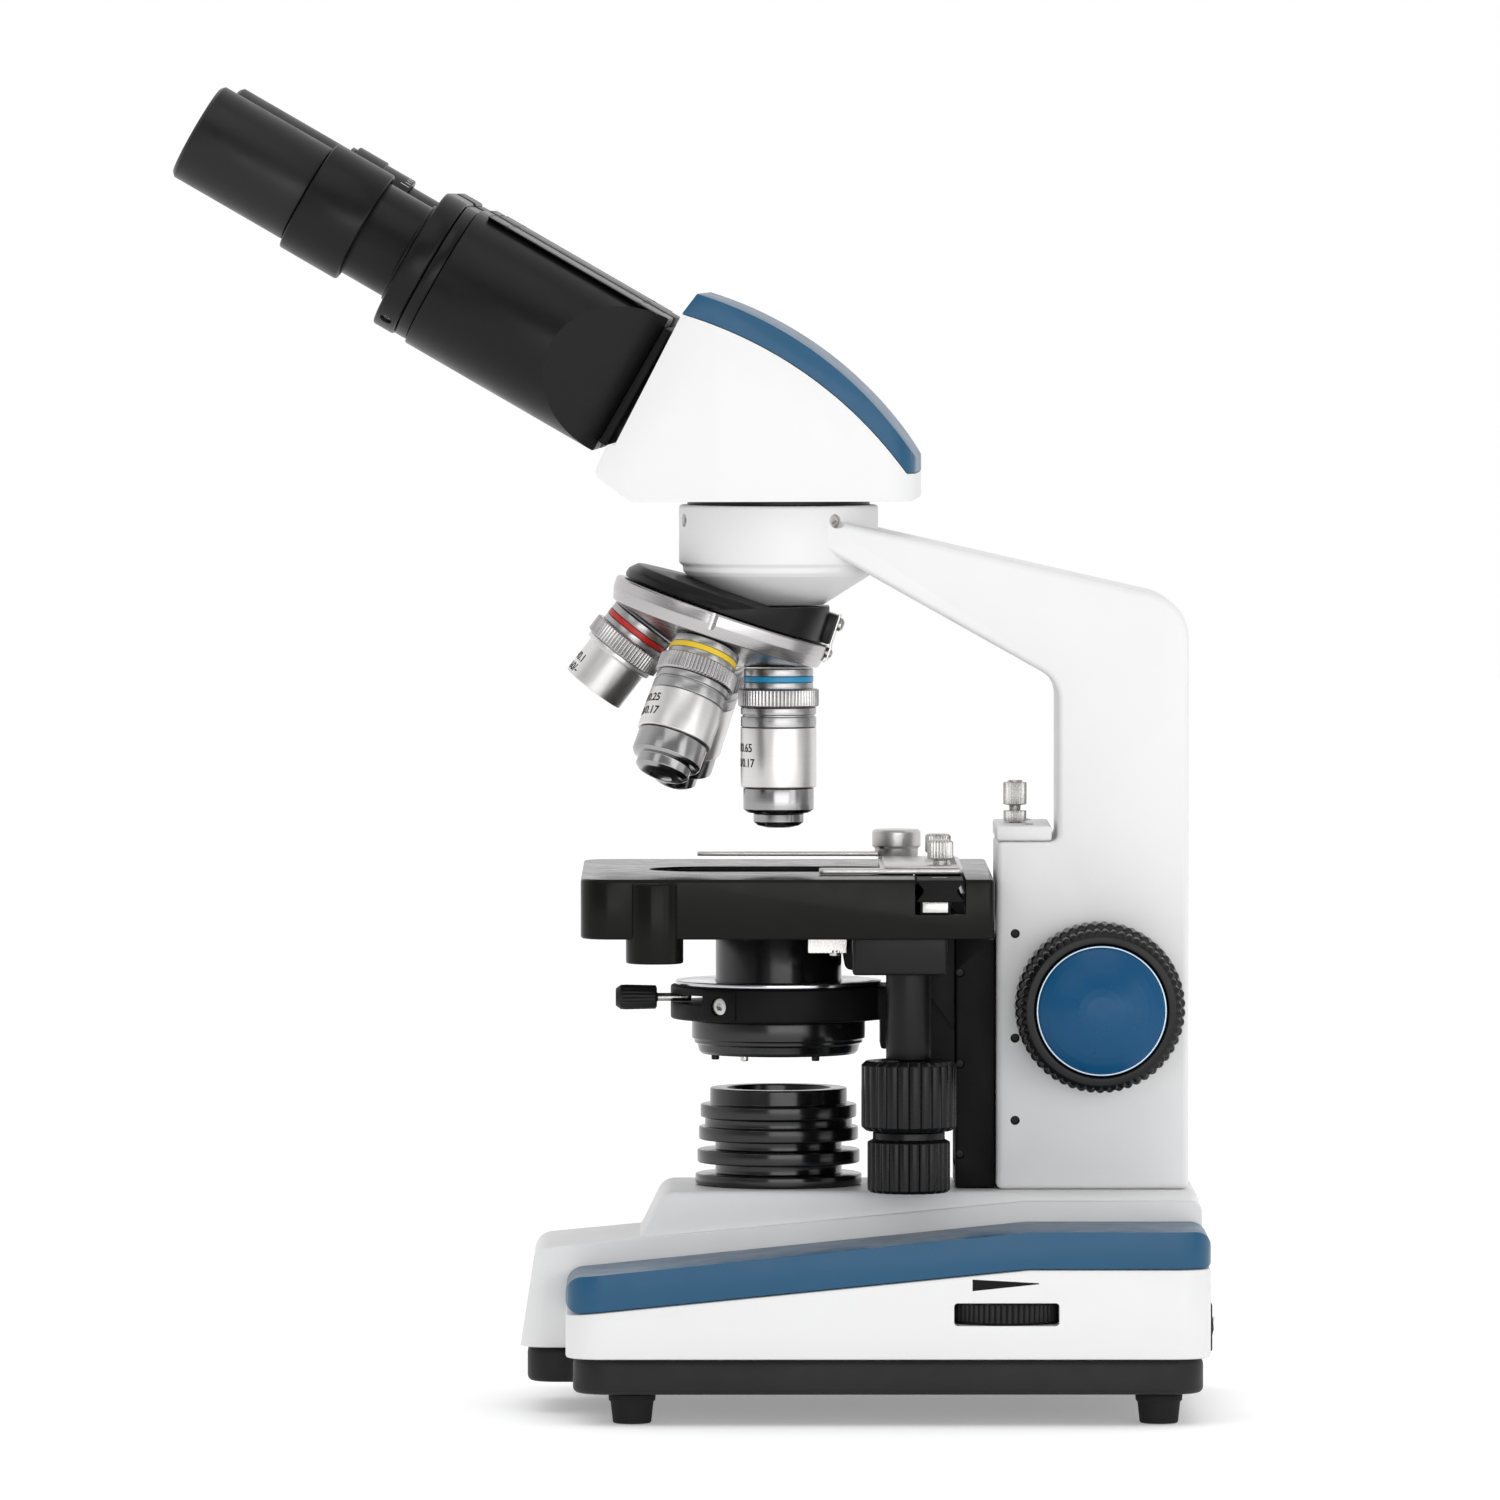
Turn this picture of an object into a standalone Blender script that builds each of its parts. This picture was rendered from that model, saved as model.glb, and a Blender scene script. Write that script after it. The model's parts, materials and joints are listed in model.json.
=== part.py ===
"""Binocular compound microscope, modelled as separate named pieces.

Sizes below are in millimetres and are turned into Blender's metres where geometry is made.
+X points from the user towards the arm, -Y is the user's right-hand side, +Z is up, and Z = 0 is the
bench. Most places are given from the optical axis, which stands at OPTICAL_AXIS_X.
"""
import bpy
import bmesh
from math import acos, atan2, cos, hypot, pi, radians, sin, tan
from mathutils import Vector

MM = 0.001
MERGE = 0.00001
GAP = 0.3                       # clearance between neighbouring pieces
RUNNING_GAP = 0.4               # radial clearance of a turning shaft

# Whole instrument
OPTICAL_AXIS_X = 23.67          # the axis from the middle of the overall length
HEAD_TURN = radians(-3.0)       # the head is clamped a little off straight
NOSE_TURN = radians(-4.0)       # and so is the nosepiece

# Base
BASE_FRONT = -58.7
BASE_BACK = 118.1
BASE_HALF_WIDTH = 74.0
BASE_CORNER = 10.0
LOBE_FRONT = -71.6              # the middle of the base reaches further forward
LOBE_HALF_WIDTH = 31.0
FOOT_HEIGHT = 8.5
FOOT_RADIUS = 6.5
FOOT_TIP_RADIUS = 5.25
FOOT_FRONT_X = -40.5
FOOT_BACK_X = 104.0
FOOT_SIDE_INSET = 14.0
BOTTOM_PLATE = 9.5
BASE_WALL = 3.0
POD_FRONT_TOP = 30.3            # where the blue trim starts, at the front and at the back
POD_BEND_X = -11.0
POD_BEND_TOP = 34.9
POD_LEVEL_X = 68.0
POD_BACK_TOP = 43.0
TRIM_HEIGHT = 10.2
SHOULDER = 5.6                  # the white middle stands above the trim by this
PLINTH_TOP = 61.5
PLINTH_FRONT = -32.0
PLINTH_SLOPE = 7.7
PLINTH_BACK = 116.0
PLINTH_HALF_WIDTH = 29.0
LIGHT_HOLE_RADIUS = 13.0

# Column and arm
COLUMN_FRONT = 60.1
COLUMN_BACK = 113.3
COLUMN_HALF_WIDTH = 24.0
STEP_BACK = 77.0                # the throat of the arm starts behind the front step
STEP_TOP = 162.2
ARM_SLOPE = 0.2286              # fall of the arm's top edge
THROAT_SLOPE = 0.561            # fall of its lower edge
ARM_TOP_CORNER = 13.0
THROAT_CORNER = 9.0

# Vertical stack over the optical axis
STAGE_TOP = PLINTH_TOP + 87.7
WORKING_GAP = 11.6
OBJECTIVE_LENGTH = 44.5         # shoulder to front lens of the longest objectives, parfocal 45
SHOULDER_TO_APEX = 61.4
APEX = STAGE_TOP + WORKING_GAP + OBJECTIVE_LENGTH + SHOULDER_TO_APEX
COLLAR_TOP = APEX - 16.1
COLLAR_RADIUS = 27.65
COLLAR_HEIGHT = 16.1
COLLAR_BORE = 10.0

# Nosepiece
NOSE_TILT = radians(18.75)
DISC_FROM_APEX = 48.0
DISC_RADIUS = 31.0
DISC_RIM = 3.4
DISC_FLARE_RADIUS = 29.6        # where the rim's cone meets the objectives' seats
HUB_RADIUS = 9.8
CAP_RADIUS = 29.3
CAP_BACK_X = 14.2               # the fixed cap's wedge under the collar ends here
OBJECTIVE_RADIUS = 10.55
OBJECTIVE_NECK = 9.65
KNURL_RADIUS = 11.25

# Head
HEAD_BOTTOM = COLLAR_TOP + 1.4
HEAD_FRONT_HALF_WIDTH = 36.0
HEAD_BACK_HALF_WIDTH = 27.0
HEAD_BACK_X = 38.9
HEAD_WALL = 3.5
FACE_X = -36.6                  # where the eye tubes' axis leaves the head's front face
FACE_HEIGHT = 33.0              # above the collar's top
FACE_TOP = 23.2                 # along the face from that point
EYE_TILT = radians(-60.0)       # the tubes lie 30 degrees above level
FACE_LEAN = EYE_TILT + pi / 2   # the face leans back, square to the tubes
SLIDE_HALF_LENGTH = 33.0
TUBE_SPACING = 62.0             # interpupillary distance at rest
SLIDE_PLATE = 2.0
BOX_LENGTH = 60.0
BOX_TOP = 20.1
BOX_BOTTOM = -21.9
BOX_INNER = 26.8                # from the tube's axis to the box's inner side
BOX_WALL = 3.0
BOX_ROUND_STEPS = 12
BOX_HOLLOW_START = 15.0         # from the box's end at the head
FACET_LENGTH = 24.0             # the rounded side is cut away towards the head
TUBE_PLATE = 10.5
TUBE_RADIUS = 14.0
TUBE_LENGTH = 14.3
SLEEVE_RADIUS = 16.4
SLEEVE_LENGTH = 18.2
EYEPIECE_STEM = 11.6            # the 23.2 mm standard fit
EYEPIECE_STEM_LENGTH = 20.0
EYEPIECE_RADIUS = 14.35
EYEPIECE_LENGTH = 35.6
EYEPIECE_BORE = 9.5
EYE_LENS_RADIUS = 11.2

# Stage
STAGE_FRONT = -54.6
STAGE_BACK = 58.8
STAGE_HALF_WIDTH = 62.5
STAGE_HEIGHT = 16.5
STAGE_TOP_THICKNESS = 9.7
STAGE_WALL = 3.0
STAGE_CORNER = 8.0
APERTURE_HALF_LENGTH = 33.6
APERTURE_HALF_WIDTH = 14.0
BOSS_X = -34.3
BOSS_RADIUS = 7.9
BOSS_BOTTOM = 23.2              # below the stage's top
BOSS_PROUD = 3.0                # it stands out from the stage's side
RAIL_FRONT = 37.3
RAIL_WIDTH = 13.4
HOLDER_HALF_LENGTH = 38.0
HOLDER_THICKNESS = 1.5
HOLDER_FRONT = 28.0
JAW_FRONT = 11.0
JAW_WIDTH = 7.0
FINGER_PIVOT_X = 33.2
FINGER_LENGTH = 56.0
FINGER_WIDTH = 4.5
FINGER_CAP_RADIUS = 6.8
GUIDE_DEPTH = 11.0
GUIDE_HALF_WIDTH = 20.0
GUIDE_HEIGHT = 69.2
BRACKET_HALF_WIDTH = 27.0
BRACKET_FRONT = -26.0
CARRIAGE_DEPTH = 8.5
CARRIAGE_DROP = 37.5            # below the stage's underside

# Coaxial stage control
CONTROL_X = 35.6
CONTROL_Y = -45.0
CONTROL_RADIUS = 6.3
CONTROL_SHAFT = 3.0
UPPER_KNOB_RADIUS = 13.15
UPPER_KNOB_LENGTH = 19.3
LOWER_KNOB_RADIUS = 11.45
LOWER_KNOB_LENGTH = 14.7
KNOB_NECK = 2.3

# Condenser and light
CONDENSER_TOP = 10.9            # below the stage's top
CONDENSER_LENS_MOUNT = 9.5
CONDENSER_BORE = 8.5
CONDENSER_UPPER = 17.5
CONDENSER_MIDDLE = 19.7
CONDENSER_LOWER = 24.1
RING_TOP = 32.0                 # the holder ring below the stage's top
RING_HEIGHT = 9.4
RING_RADIUS = 30.0
RIM_RADIUS = 28.7
COLLECTOR_RADIUS = 19.05
COLLECTOR_HEIGHT = 27.0
COLLECTOR_OPENING = 14.5
LEVER_LENGTH = 45.3
LEVER_GRIP = 11.5
LEVER_GRIP_RADIUS = 3.5
LEVER_ROD_RADIUS = 1.1
LEVER_DROP = 35.6               # below the stage's top

# Focus controls
FOCUS_X = 88.5
FOCUS_Z = PLINTH_TOP + 51.0
COARSE_RADIUS = 23.5
COARSE_WIDTH = 12.0
COARSE_SHAFT = 5.0
FINE_SHAFT = 2.8
FINE_RADIUS = 22.2
FINE_WIDTH = 13.0
FINE_CAP_RADIUS = 17.6
FINE_CAP_RISE = 7.0

# Base controls
DIMMER_X = 62.0
DIMMER_Z = 30.7
DIMMER_RADIUS = 16.0
DIMMER_THICKNESS = 5.5
DIMMER_SLOT_HALF = 14.4
SWITCH_Y = -42.0
SWITCH_Z = 25.2
SWITCH_HALF_WIDTH = 7.0
SWITCH_HALF_HEIGHT = 4.3
SWITCH_DEPTH = 12.0
SWITCH_TILT = radians(8.0)
JACK_Y = 42.0
JACK_Z = 24.0
JACK_RADIUS = 5.0
STOP_X = 65.7
STOP_RADIUS = 1.55
STOP_HEAD = 3.25

# Heights worked out from the above
BASE_TOP_OF_PLATE = FOOT_HEIGHT + BOTTOM_PLATE
STAGE_BOTTOM = STAGE_TOP - STAGE_HEIGHT
STAGE_CEILING = STAGE_TOP - STAGE_TOP_THICKNESS
BRACKET_TOP = STAGE_CEILING - GAP
BRACKET_BOTTOM = STAGE_BOTTOM - 10.2
CARRIAGE_BACK = COLUMN_FRONT - GAP - GUIDE_DEPTH - GAP
CARRIAGE_FRONT = CARRIAGE_BACK - CARRIAGE_DEPTH
RING_TOP_Z = STAGE_TOP - RING_TOP
RING_BOTTOM_Z = RING_TOP_Z - RING_HEIGHT
TUBE_Y = TUBE_SPACING / 2
BOX_START = GAP + SLIDE_PLATE + GAP
BOX_END = BOX_START + BOX_LENGTH
TUBE_PLATE_END = BOX_END + TUBE_PLATE
TUBE_END = TUBE_PLATE_END + GAP + TUBE_LENGTH + SLEEVE_LENGTH
SLEEVE_START = TUBE_END - SLEEVE_LENGTH


# --- Scene, materials and modelling helpers ---

def clear_scene():
    for thing in list(bpy.data.objects):
        bpy.data.objects.remove(thing, do_unlink=True)


def new_collection(name):
    collection = bpy.data.collections.new(name)
    bpy.context.scene.collection.children.link(collection)
    return collection


clear_scene()
PARTS = new_collection("microscope")
CUTTERS = new_collection("cutters")


def principled(name, colour, roughness, metallic=0.0):
    made = bpy.data.materials.new(name)
    made.use_nodes = True
    shader = made.node_tree.nodes["Principled BSDF"]
    shader.inputs["Base Color"].default_value = (*colour, 1.0)
    shader.inputs["Roughness"].default_value = roughness
    shader.inputs["Metallic"].default_value = metallic
    made.diffuse_color = (*colour, 1.0)
    return made


WHITE = principled("white_paint", (0.86, 0.86, 0.86), 0.35)
BLUE = principled("blue_trim", (0.02, 0.11, 0.24), 0.35)
KNOB_BLUE = principled("blue_cap", (0.01, 0.10, 0.30), 0.3)
BLACK = principled("black_satin", (0.015, 0.015, 0.015), 0.4)
PLASTIC = principled("black_plastic", (0.02, 0.02, 0.02), 0.5)
RUBBER = principled("black_rubber", (0.012, 0.012, 0.012), 0.8)
CHROME = principled("chrome", (0.8, 0.8, 0.8), 0.15, 1.0)
SATIN = principled("satin_chrome", (0.65, 0.65, 0.65), 0.3, 1.0)
STEEL = principled("steel", (0.6, 0.6, 0.6), 0.3, 1.0)
GLASS = principled("glass", (0.85, 0.92, 0.95), 0.05)
BOARD = principled("circuit_board", (0.02, 0.2, 0.06), 0.5)


def put(thing, parent, place, turn):
    thing.location = [value * MM for value in place]
    thing.rotation_euler = turn
    thing.parent = parent
    return thing


def frame(name, place, turn=(0.0, 0.0, 0.0), parent=None):
    empty = bpy.data.objects.new(name, None)
    bpy.context.scene.collection.objects.link(empty)
    return put(empty, parent, place, turn)


STAND = frame("stand_frame", (OPTICAL_AXIS_X, 0, 0))
HEAD = frame("head_frame", (0, 0, 0), (0, 0, HEAD_TURN), STAND)
EYES = frame("eye_frame", (FACE_X, 0, COLLAR_TOP + FACE_HEIGHT), (0, EYE_TILT, 0), HEAD)
NOSE = frame("nose_frame", (0, 0, APEX), (0, NOSE_TILT, NOSE_TURN), STAND)


def solid(name, mesh, material, parent=STAND, place=(0, 0, 0), turn=(0, 0, 0)):
    """Makes a piece, or a cutter when the material is None."""
    thing = bpy.data.objects.new(name, mesh)
    if material is None:
        CUTTERS.objects.link(thing)
        thing.hide_render = True
        thing.display_type = "WIRE"
    else:
        PARTS.objects.link(thing)
        mesh.materials.append(material)
    return put(thing, parent, place, turn)


def block(name, low, high, material, parent=STAND, place=(0, 0, 0), turn=(0, 0, 0)):
    mesh = bpy.data.meshes.new(name)
    bm = bmesh.new()
    bmesh.ops.create_cube(bm, size=1.0)
    for vert in bm.verts:
        spread = [(a + b) / 2 + v * (b - a) for a, b, v in zip(low, high, vert.co)]
        vert.co = Vector(spread) * MM
    bm.to_mesh(mesh)
    bm.free()
    return solid(name, mesh, material, parent, place, turn)


def turned(name, profile, material, parent=STAND, place=(0, 0, 0), turn=(0, 0, 0), steps=24, ring=False):
    """Turns a profile of (radius, height) points, top to bottom down its outer side."""
    points = [(radius * MM, 0.0, height * MM) for radius, height in profile]
    edges = [(i, i + 1) for i in range(len(points) - 1)]
    if ring:
        edges.append((len(points) - 1, 0))
    mesh = bpy.data.meshes.new(name)
    mesh.from_pydata(points, edges, [])
    thing = solid(name, mesh, material, parent, place, turn)
    screw = thing.modifiers.new("turn", "SCREW")
    screw.steps = steps
    screw.render_steps = steps
    screw.use_merge_vertices = True
    screw.merge_threshold = MERGE
    screw.use_smooth_shade = True
    return thing


def round_corners(corners, steps=3):
    """Replaces each (x, y, radius) corner by an arc that is tangent to both sides."""
    points = []
    for i, (x, y, radius) in enumerate(corners):
        here = Vector((x, y))
        if radius <= 0.0:
            points.append(here)
            continue
        before = (Vector(corners[i - 1][:2]) - here).normalized()
        after = (Vector(corners[(i + 1) % len(corners)][:2]) - here).normalized()
        half = acos(max(-1.0, min(1.0, before.dot(after)))) / 2
        centre = here + (before + after).normalized() * (radius / sin(half))
        start = here + before * (radius / tan(half)) - centre
        end = here + after * (radius / tan(half)) - centre
        first = atan2(start.y, start.x)
        sweep = (atan2(end.y, end.x) - first + pi) % (2 * pi) - pi
        for step in range(steps + 1):
            angle = first + sweep * step / steps
            points.append(centre + Vector((cos(angle), sin(angle))) * radius)
    return points


def arc_through(a, b, c, steps):
    """Points of the circle's arc from a through b to c."""
    (ax, ay), (bx, by), (cx, cy) = a, b, c
    d = 2 * (ax * (by - cy) + bx * (cy - ay) + cx * (ay - by))
    aa, bb, cc = ax * ax + ay * ay, bx * bx + by * by, cx * cx + cy * cy
    ox = (aa * (by - cy) + bb * (cy - ay) + cc * (ay - by)) / d
    oy = (aa * (cx - bx) + bb * (ax - cx) + cc * (bx - ax)) / d
    first = atan2(ay - oy, ax - ox)
    last = atan2(cy - oy, cx - ox)
    sweep = (last - first + pi) % (2 * pi) - pi
    radius = hypot(ax - ox, ay - oy)
    turns = [first + sweep * i / steps for i in range(steps + 1)]
    return [(ox + radius * cos(t), oy + radius * sin(t)) for t in turns]


def plate(name, outline, thickness, material, parent=STAND, place=(0, 0, 0), turn=(0, 0, 0)):
    """Extrudes a flat outline by its thickness, half to each side of its plane."""
    curve = bpy.data.curves.new(name, "CURVE")
    curve.dimensions = "2D"
    curve.fill_mode = "BOTH"
    curve.extrude = thickness * MM / 2
    spline = curve.splines.new("POLY")
    spline.points.add(len(outline) - 1)
    for point, where in zip(spline.points, outline):
        point.co = (where[0] * MM, where[1] * MM, 0.0, 1.0)
    spline.use_cyclic_u = True
    drawn = bpy.data.objects.new(name + "_outline", curve)
    bpy.context.scene.collection.objects.link(drawn)
    depsgraph = bpy.context.evaluated_depsgraph_get()
    mesh = bpy.data.meshes.new_from_object(drawn.evaluated_get(depsgraph))
    bpy.data.objects.remove(drawn, do_unlink=True)
    mesh.name = name
    bm = bmesh.new()
    bm.from_mesh(mesh)
    bmesh.ops.remove_doubles(bm, verts=bm.verts, dist=MERGE)
    bmesh.ops.recalc_face_normals(bm, faces=bm.faces)
    bm.to_mesh(mesh)
    bm.free()
    return solid(name, mesh, material, parent, place, turn)


UPRIGHT = (pi / 2, 0, 0)        # lays an outline's x along X and its y along Z


def side_plate(name, outline, half_width, material, parent=STAND, y=0.0):
    """Extrudes an outline in X and Z across the instrument."""
    return plate(name, outline, 2 * half_width, material, parent, (0, y, 0), UPRIGHT)


def boolean(target, tool, operation):
    step = target.modifiers.new(tool.name, "BOOLEAN")
    step.operation = operation
    step.object = tool
    return target


def cut(target, tool):
    return boolean(target, tool, "DIFFERENCE")


def join(target, tool):
    return boolean(target, tool, "UNION")


def keep(target, tool):
    return boolean(target, tool, "INTERSECT")


def soften(target, width, segments=1):
    bevel = target.modifiers.new("edges", "BEVEL")
    bevel.width = width * MM
    bevel.segments = segments
    bevel.limit_method = "ANGLE"
    bevel.angle_limit = radians(40)
    return target


# --- Base ---

def base_plan(inset):
    """The base's outline from above."""
    side = BASE_HALF_WIDTH - inset
    front = BASE_FRONT + inset
    back = BASE_BACK - inset
    lobe = LOBE_FRONT + inset
    lobe_side = LOBE_HALF_WIDTH - inset
    corners = [(back, -side, BASE_CORNER), (back, side, BASE_CORNER), (front, side, BASE_CORNER),
               (front, lobe_side, 2.0), (lobe, lobe_side, 8.0), (lobe, -lobe_side, 8.0),
               (front, -lobe_side, 2.0), (front, -side, BASE_CORNER)]
    return round_corners(corners)


def pod_top(x):
    """Height of the pods under the trim at a distance x."""
    if x < POD_BEND_X:
        share = (x - BASE_FRONT) / (POD_BEND_X - BASE_FRONT)
        return POD_FRONT_TOP + share * (POD_BEND_TOP - POD_FRONT_TOP)
    share = min(1.0, (x - POD_BEND_X) / (POD_LEVEL_X - POD_BEND_X))
    return POD_BEND_TOP + share * (POD_BACK_TOP - POD_BEND_TOP)


def pod_line(raise_by):
    """The line that the pods, the trim and the shoulder all follow, front to back."""
    stations = (BASE_FRONT, POD_BEND_X, POD_LEVEL_X, BASE_BACK)
    return [(x, pod_top(x) + raise_by) for x in stations]


def make_base():
    floor = BASE_TOP_OF_PLATE + GAP
    pods = [(BASE_BACK, floor), (BASE_FRONT, floor)] + pod_line(0.0)
    housing = side_plate("base_housing", pods, BASE_HALF_WIDTH, WHITE)
    middle = TRIM_HEIGHT + SHOULDER
    line = pod_line(middle)
    shoulder = [(BASE_BACK - 1.2, floor), (LOBE_FRONT, floor), (LOBE_FRONT + 4.9, line[0][1] - 1.5),
                (LOBE_FRONT + 8.0, line[0][1] + 0.8)] + line[1:3] + [(BASE_BACK - 1.2, line[3][1])]
    join(housing, side_plate("base_middle", shoulder, LOBE_HALF_WIDTH, None))
    plinth_foot = pod_top(PLINTH_FRONT) + middle - 2.0
    plinth = [(PLINTH_FRONT - PLINTH_SLOPE, plinth_foot), (PLINTH_FRONT, PLINTH_TOP),
              (PLINTH_BACK, PLINTH_TOP), (PLINTH_BACK, plinth_foot)]
    join(housing, side_plate("base_plinth", plinth, PLINTH_HALF_WIDTH, None))
    plan = plate("base_plan", base_plan(0.0), 4 * PLINTH_TOP, None)
    keep(housing, plan)
    hollow_top = POD_FRONT_TOP - BASE_WALL
    inside = BASE_HALF_WIDTH - BASE_WALL
    cut(housing, block("base_hollow", (BASE_FRONT + BASE_WALL, -inside, 0),
                       (BASE_BACK - BASE_WALL, inside, hollow_top), None))
    wall = PLINTH_HALF_WIDTH - BASE_WALL
    cut(housing, block("plinth_hollow", (PLINTH_FRONT + BASE_WALL, -wall, hollow_top - 5),
                       (PLINTH_BACK - 2 * BASE_WALL, wall, PLINTH_TOP - BASE_WALL), None))
    cut(housing, turned("light_hole", [(0, PLINTH_TOP + 5), (LIGHT_HOLE_RADIUS, PLINTH_TOP + 5),
                                       (LIGHT_HOLE_RADIUS, PLINTH_TOP - 8), (0, PLINTH_TOP - 8)], None))
    half = DIMMER_THICKNESS / 2
    dimmer_y = -(BASE_HALF_WIDTH - GAP - DIMMER_RADIUS)
    pocket = DIMMER_RADIUS + 1.0
    cut(housing, block("dimmer_pocket", (DIMMER_X - pocket, -inside, hollow_top - 5),
                       (DIMMER_X + pocket, dimmer_y + pocket, DIMMER_Z + half + GAP), None))
    cut(housing, block("dimmer_slot", (DIMMER_X - DIMMER_SLOT_HALF, -inside - 10, DIMMER_Z - half - GAP),
                       (DIMMER_X + DIMMER_SLOT_HALF, -inside + 1, DIMMER_Z + half + GAP), None))
    slack = 1.6
    cut(housing, block("switch_opening",
                       (BASE_BACK - SWITCH_DEPTH - 2, SWITCH_Y - SWITCH_HALF_WIDTH - GAP,
                        SWITCH_Z - SWITCH_HALF_HEIGHT - slack),
                       (BASE_BACK + 5, SWITCH_Y + SWITCH_HALF_WIDTH + GAP,
                        SWITCH_Z + SWITCH_HALF_HEIGHT + slack), None))
    bore = JACK_RADIUS + GAP
    cut(housing, turned("jack_opening", [(0, 20), (bore, 20), (bore, -20), (0, -20)], None,
                        place=(BASE_BACK, JACK_Y, JACK_Z), turn=(0, pi / 2, 0), steps=16))

    plate_body = plate("base_plate", base_plan(1.2), BOTTOM_PLATE, PLASTIC,
                       place=(0, 0, FOOT_HEIGHT + BOTTOM_PLATE / 2))
    soften(plate_body, 1.5)
    make_trims(plan)
    make_feet()
    make_base_fittings(dimmer_y)


def make_trims(plan):
    low = pod_line(GAP)
    high = pod_line(TRIM_HEIGHT)
    outline = low + high[::-1]
    width = BASE_HALF_WIDTH - LOBE_HALF_WIDTH - GAP
    for side, y in (("right", -1), ("left", 1)):
        trim = side_plate("trim_" + side, outline, width / 2, BLUE,
                          y=y * (BASE_HALF_WIDTH - width / 2))
        keep(trim, plan)


def make_feet():
    top = FOOT_HEIGHT - GAP
    profile = [(0, top), (FOOT_RADIUS, top), (FOOT_TIP_RADIUS, 0), (0, 0)]
    y = BASE_HALF_WIDTH - FOOT_SIDE_INSET
    for end, x in (("front", FOOT_FRONT_X), ("rear", FOOT_BACK_X)):
        for side, sign in (("right", -1), ("left", 1)):
            turned("foot_" + end + "_" + side, profile, RUBBER, place=(x, sign * y, 0), steps=16)


def make_base_fittings(dimmer_y):
    half = DIMMER_THICKNESS / 2
    turned("dimmer_wheel", [(0, half), (DIMMER_RADIUS, half), (DIMMER_RADIUS, -half), (0, -half)],
           PLASTIC, place=(DIMMER_X, dimmer_y, DIMMER_Z))
    pivot_x = BASE_BACK - 5
    block("rocker_switch", (-7, -SWITCH_HALF_WIDTH, -SWITCH_HALF_HEIGHT),
          (6.4, SWITCH_HALF_WIDTH, SWITCH_HALF_HEIGHT), PLASTIC,
          place=(pivot_x, SWITCH_Y, SWITCH_Z), turn=(0, SWITCH_TILT, 0))
    mouth = -0.3
    turned("power_jack", [(JACK_RADIUS, mouth), (JACK_RADIUS, -12), (0, -12), (0, -2), (1.0, -2),
                          (1.0, -10), (2.9, -10), (2.9, mouth), (JACK_RADIUS, mouth)], PLASTIC,
           place=(BASE_BACK, JACK_Y, JACK_Z), turn=(0, pi / 2, 0), steps=16)
    board_top = PLINTH_TOP - BASE_WALL - 8
    turned("led_board", [(0, board_top), (3, board_top), (3, board_top - 2), (12, board_top - 2),
                         (12, board_top - 4), (0, board_top - 4)], BOARD)


def make_collector():
    foot = PLINTH_TOP + GAP
    top = foot + COLLECTOR_HEIGHT - GAP
    barrel = COLLECTOR_RADIUS
    rings = [(41.0, top - 4.5, 21.7), (35.2, top - 10.7, 22.2), (35.2, top - 17.1, 22.6)]
    profile = [(COLLECTOR_OPENING, top), (barrel, top)]
    ring_height = 3.6
    for core, ring_top, radius in rings:
        last = profile[-1][0]
        profile += [(last, ring_top), (radius, ring_top), (radius, ring_top - ring_height),
                    (core / 2, ring_top - ring_height)]
    base_ring = 23.15
    profile += [(17.6, foot + 2.9), (base_ring, foot + 2.9), (base_ring, foot),
                (LIGHT_HOLE_RADIUS - 1, foot), (LIGHT_HOLE_RADIUS - 1, top - 8), (COLLECTOR_OPENING, top - 5)]
    turned("collector_housing", profile, BLACK, ring=True)
    seat = top - 8 + GAP
    lens = LIGHT_HOLE_RADIUS - 1 + 0.4
    turned("collector_lens", [(0, seat + 6.5), (6, seat + 5.6), (lens, seat + 2.4), (lens, seat + 0.8),
                              (0, seat + 0.8)], GLASS)


# --- Column and arm ---

def collar_profile(grow, top):
    """The collar's outer side down to its mouth, optionally grown by a clearance."""
    foot = COLLAR_TOP - COLLAR_HEIGHT
    side = COLLAR_RADIUS + grow
    return [(side, top), (side, foot - grow), (26.5 + grow, foot - 2.8 - grow), (25.2, foot - 3.5 - grow),
            (15.3, foot - 9.9 - grow), (12.4, foot - 11.7 - grow)]


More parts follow.
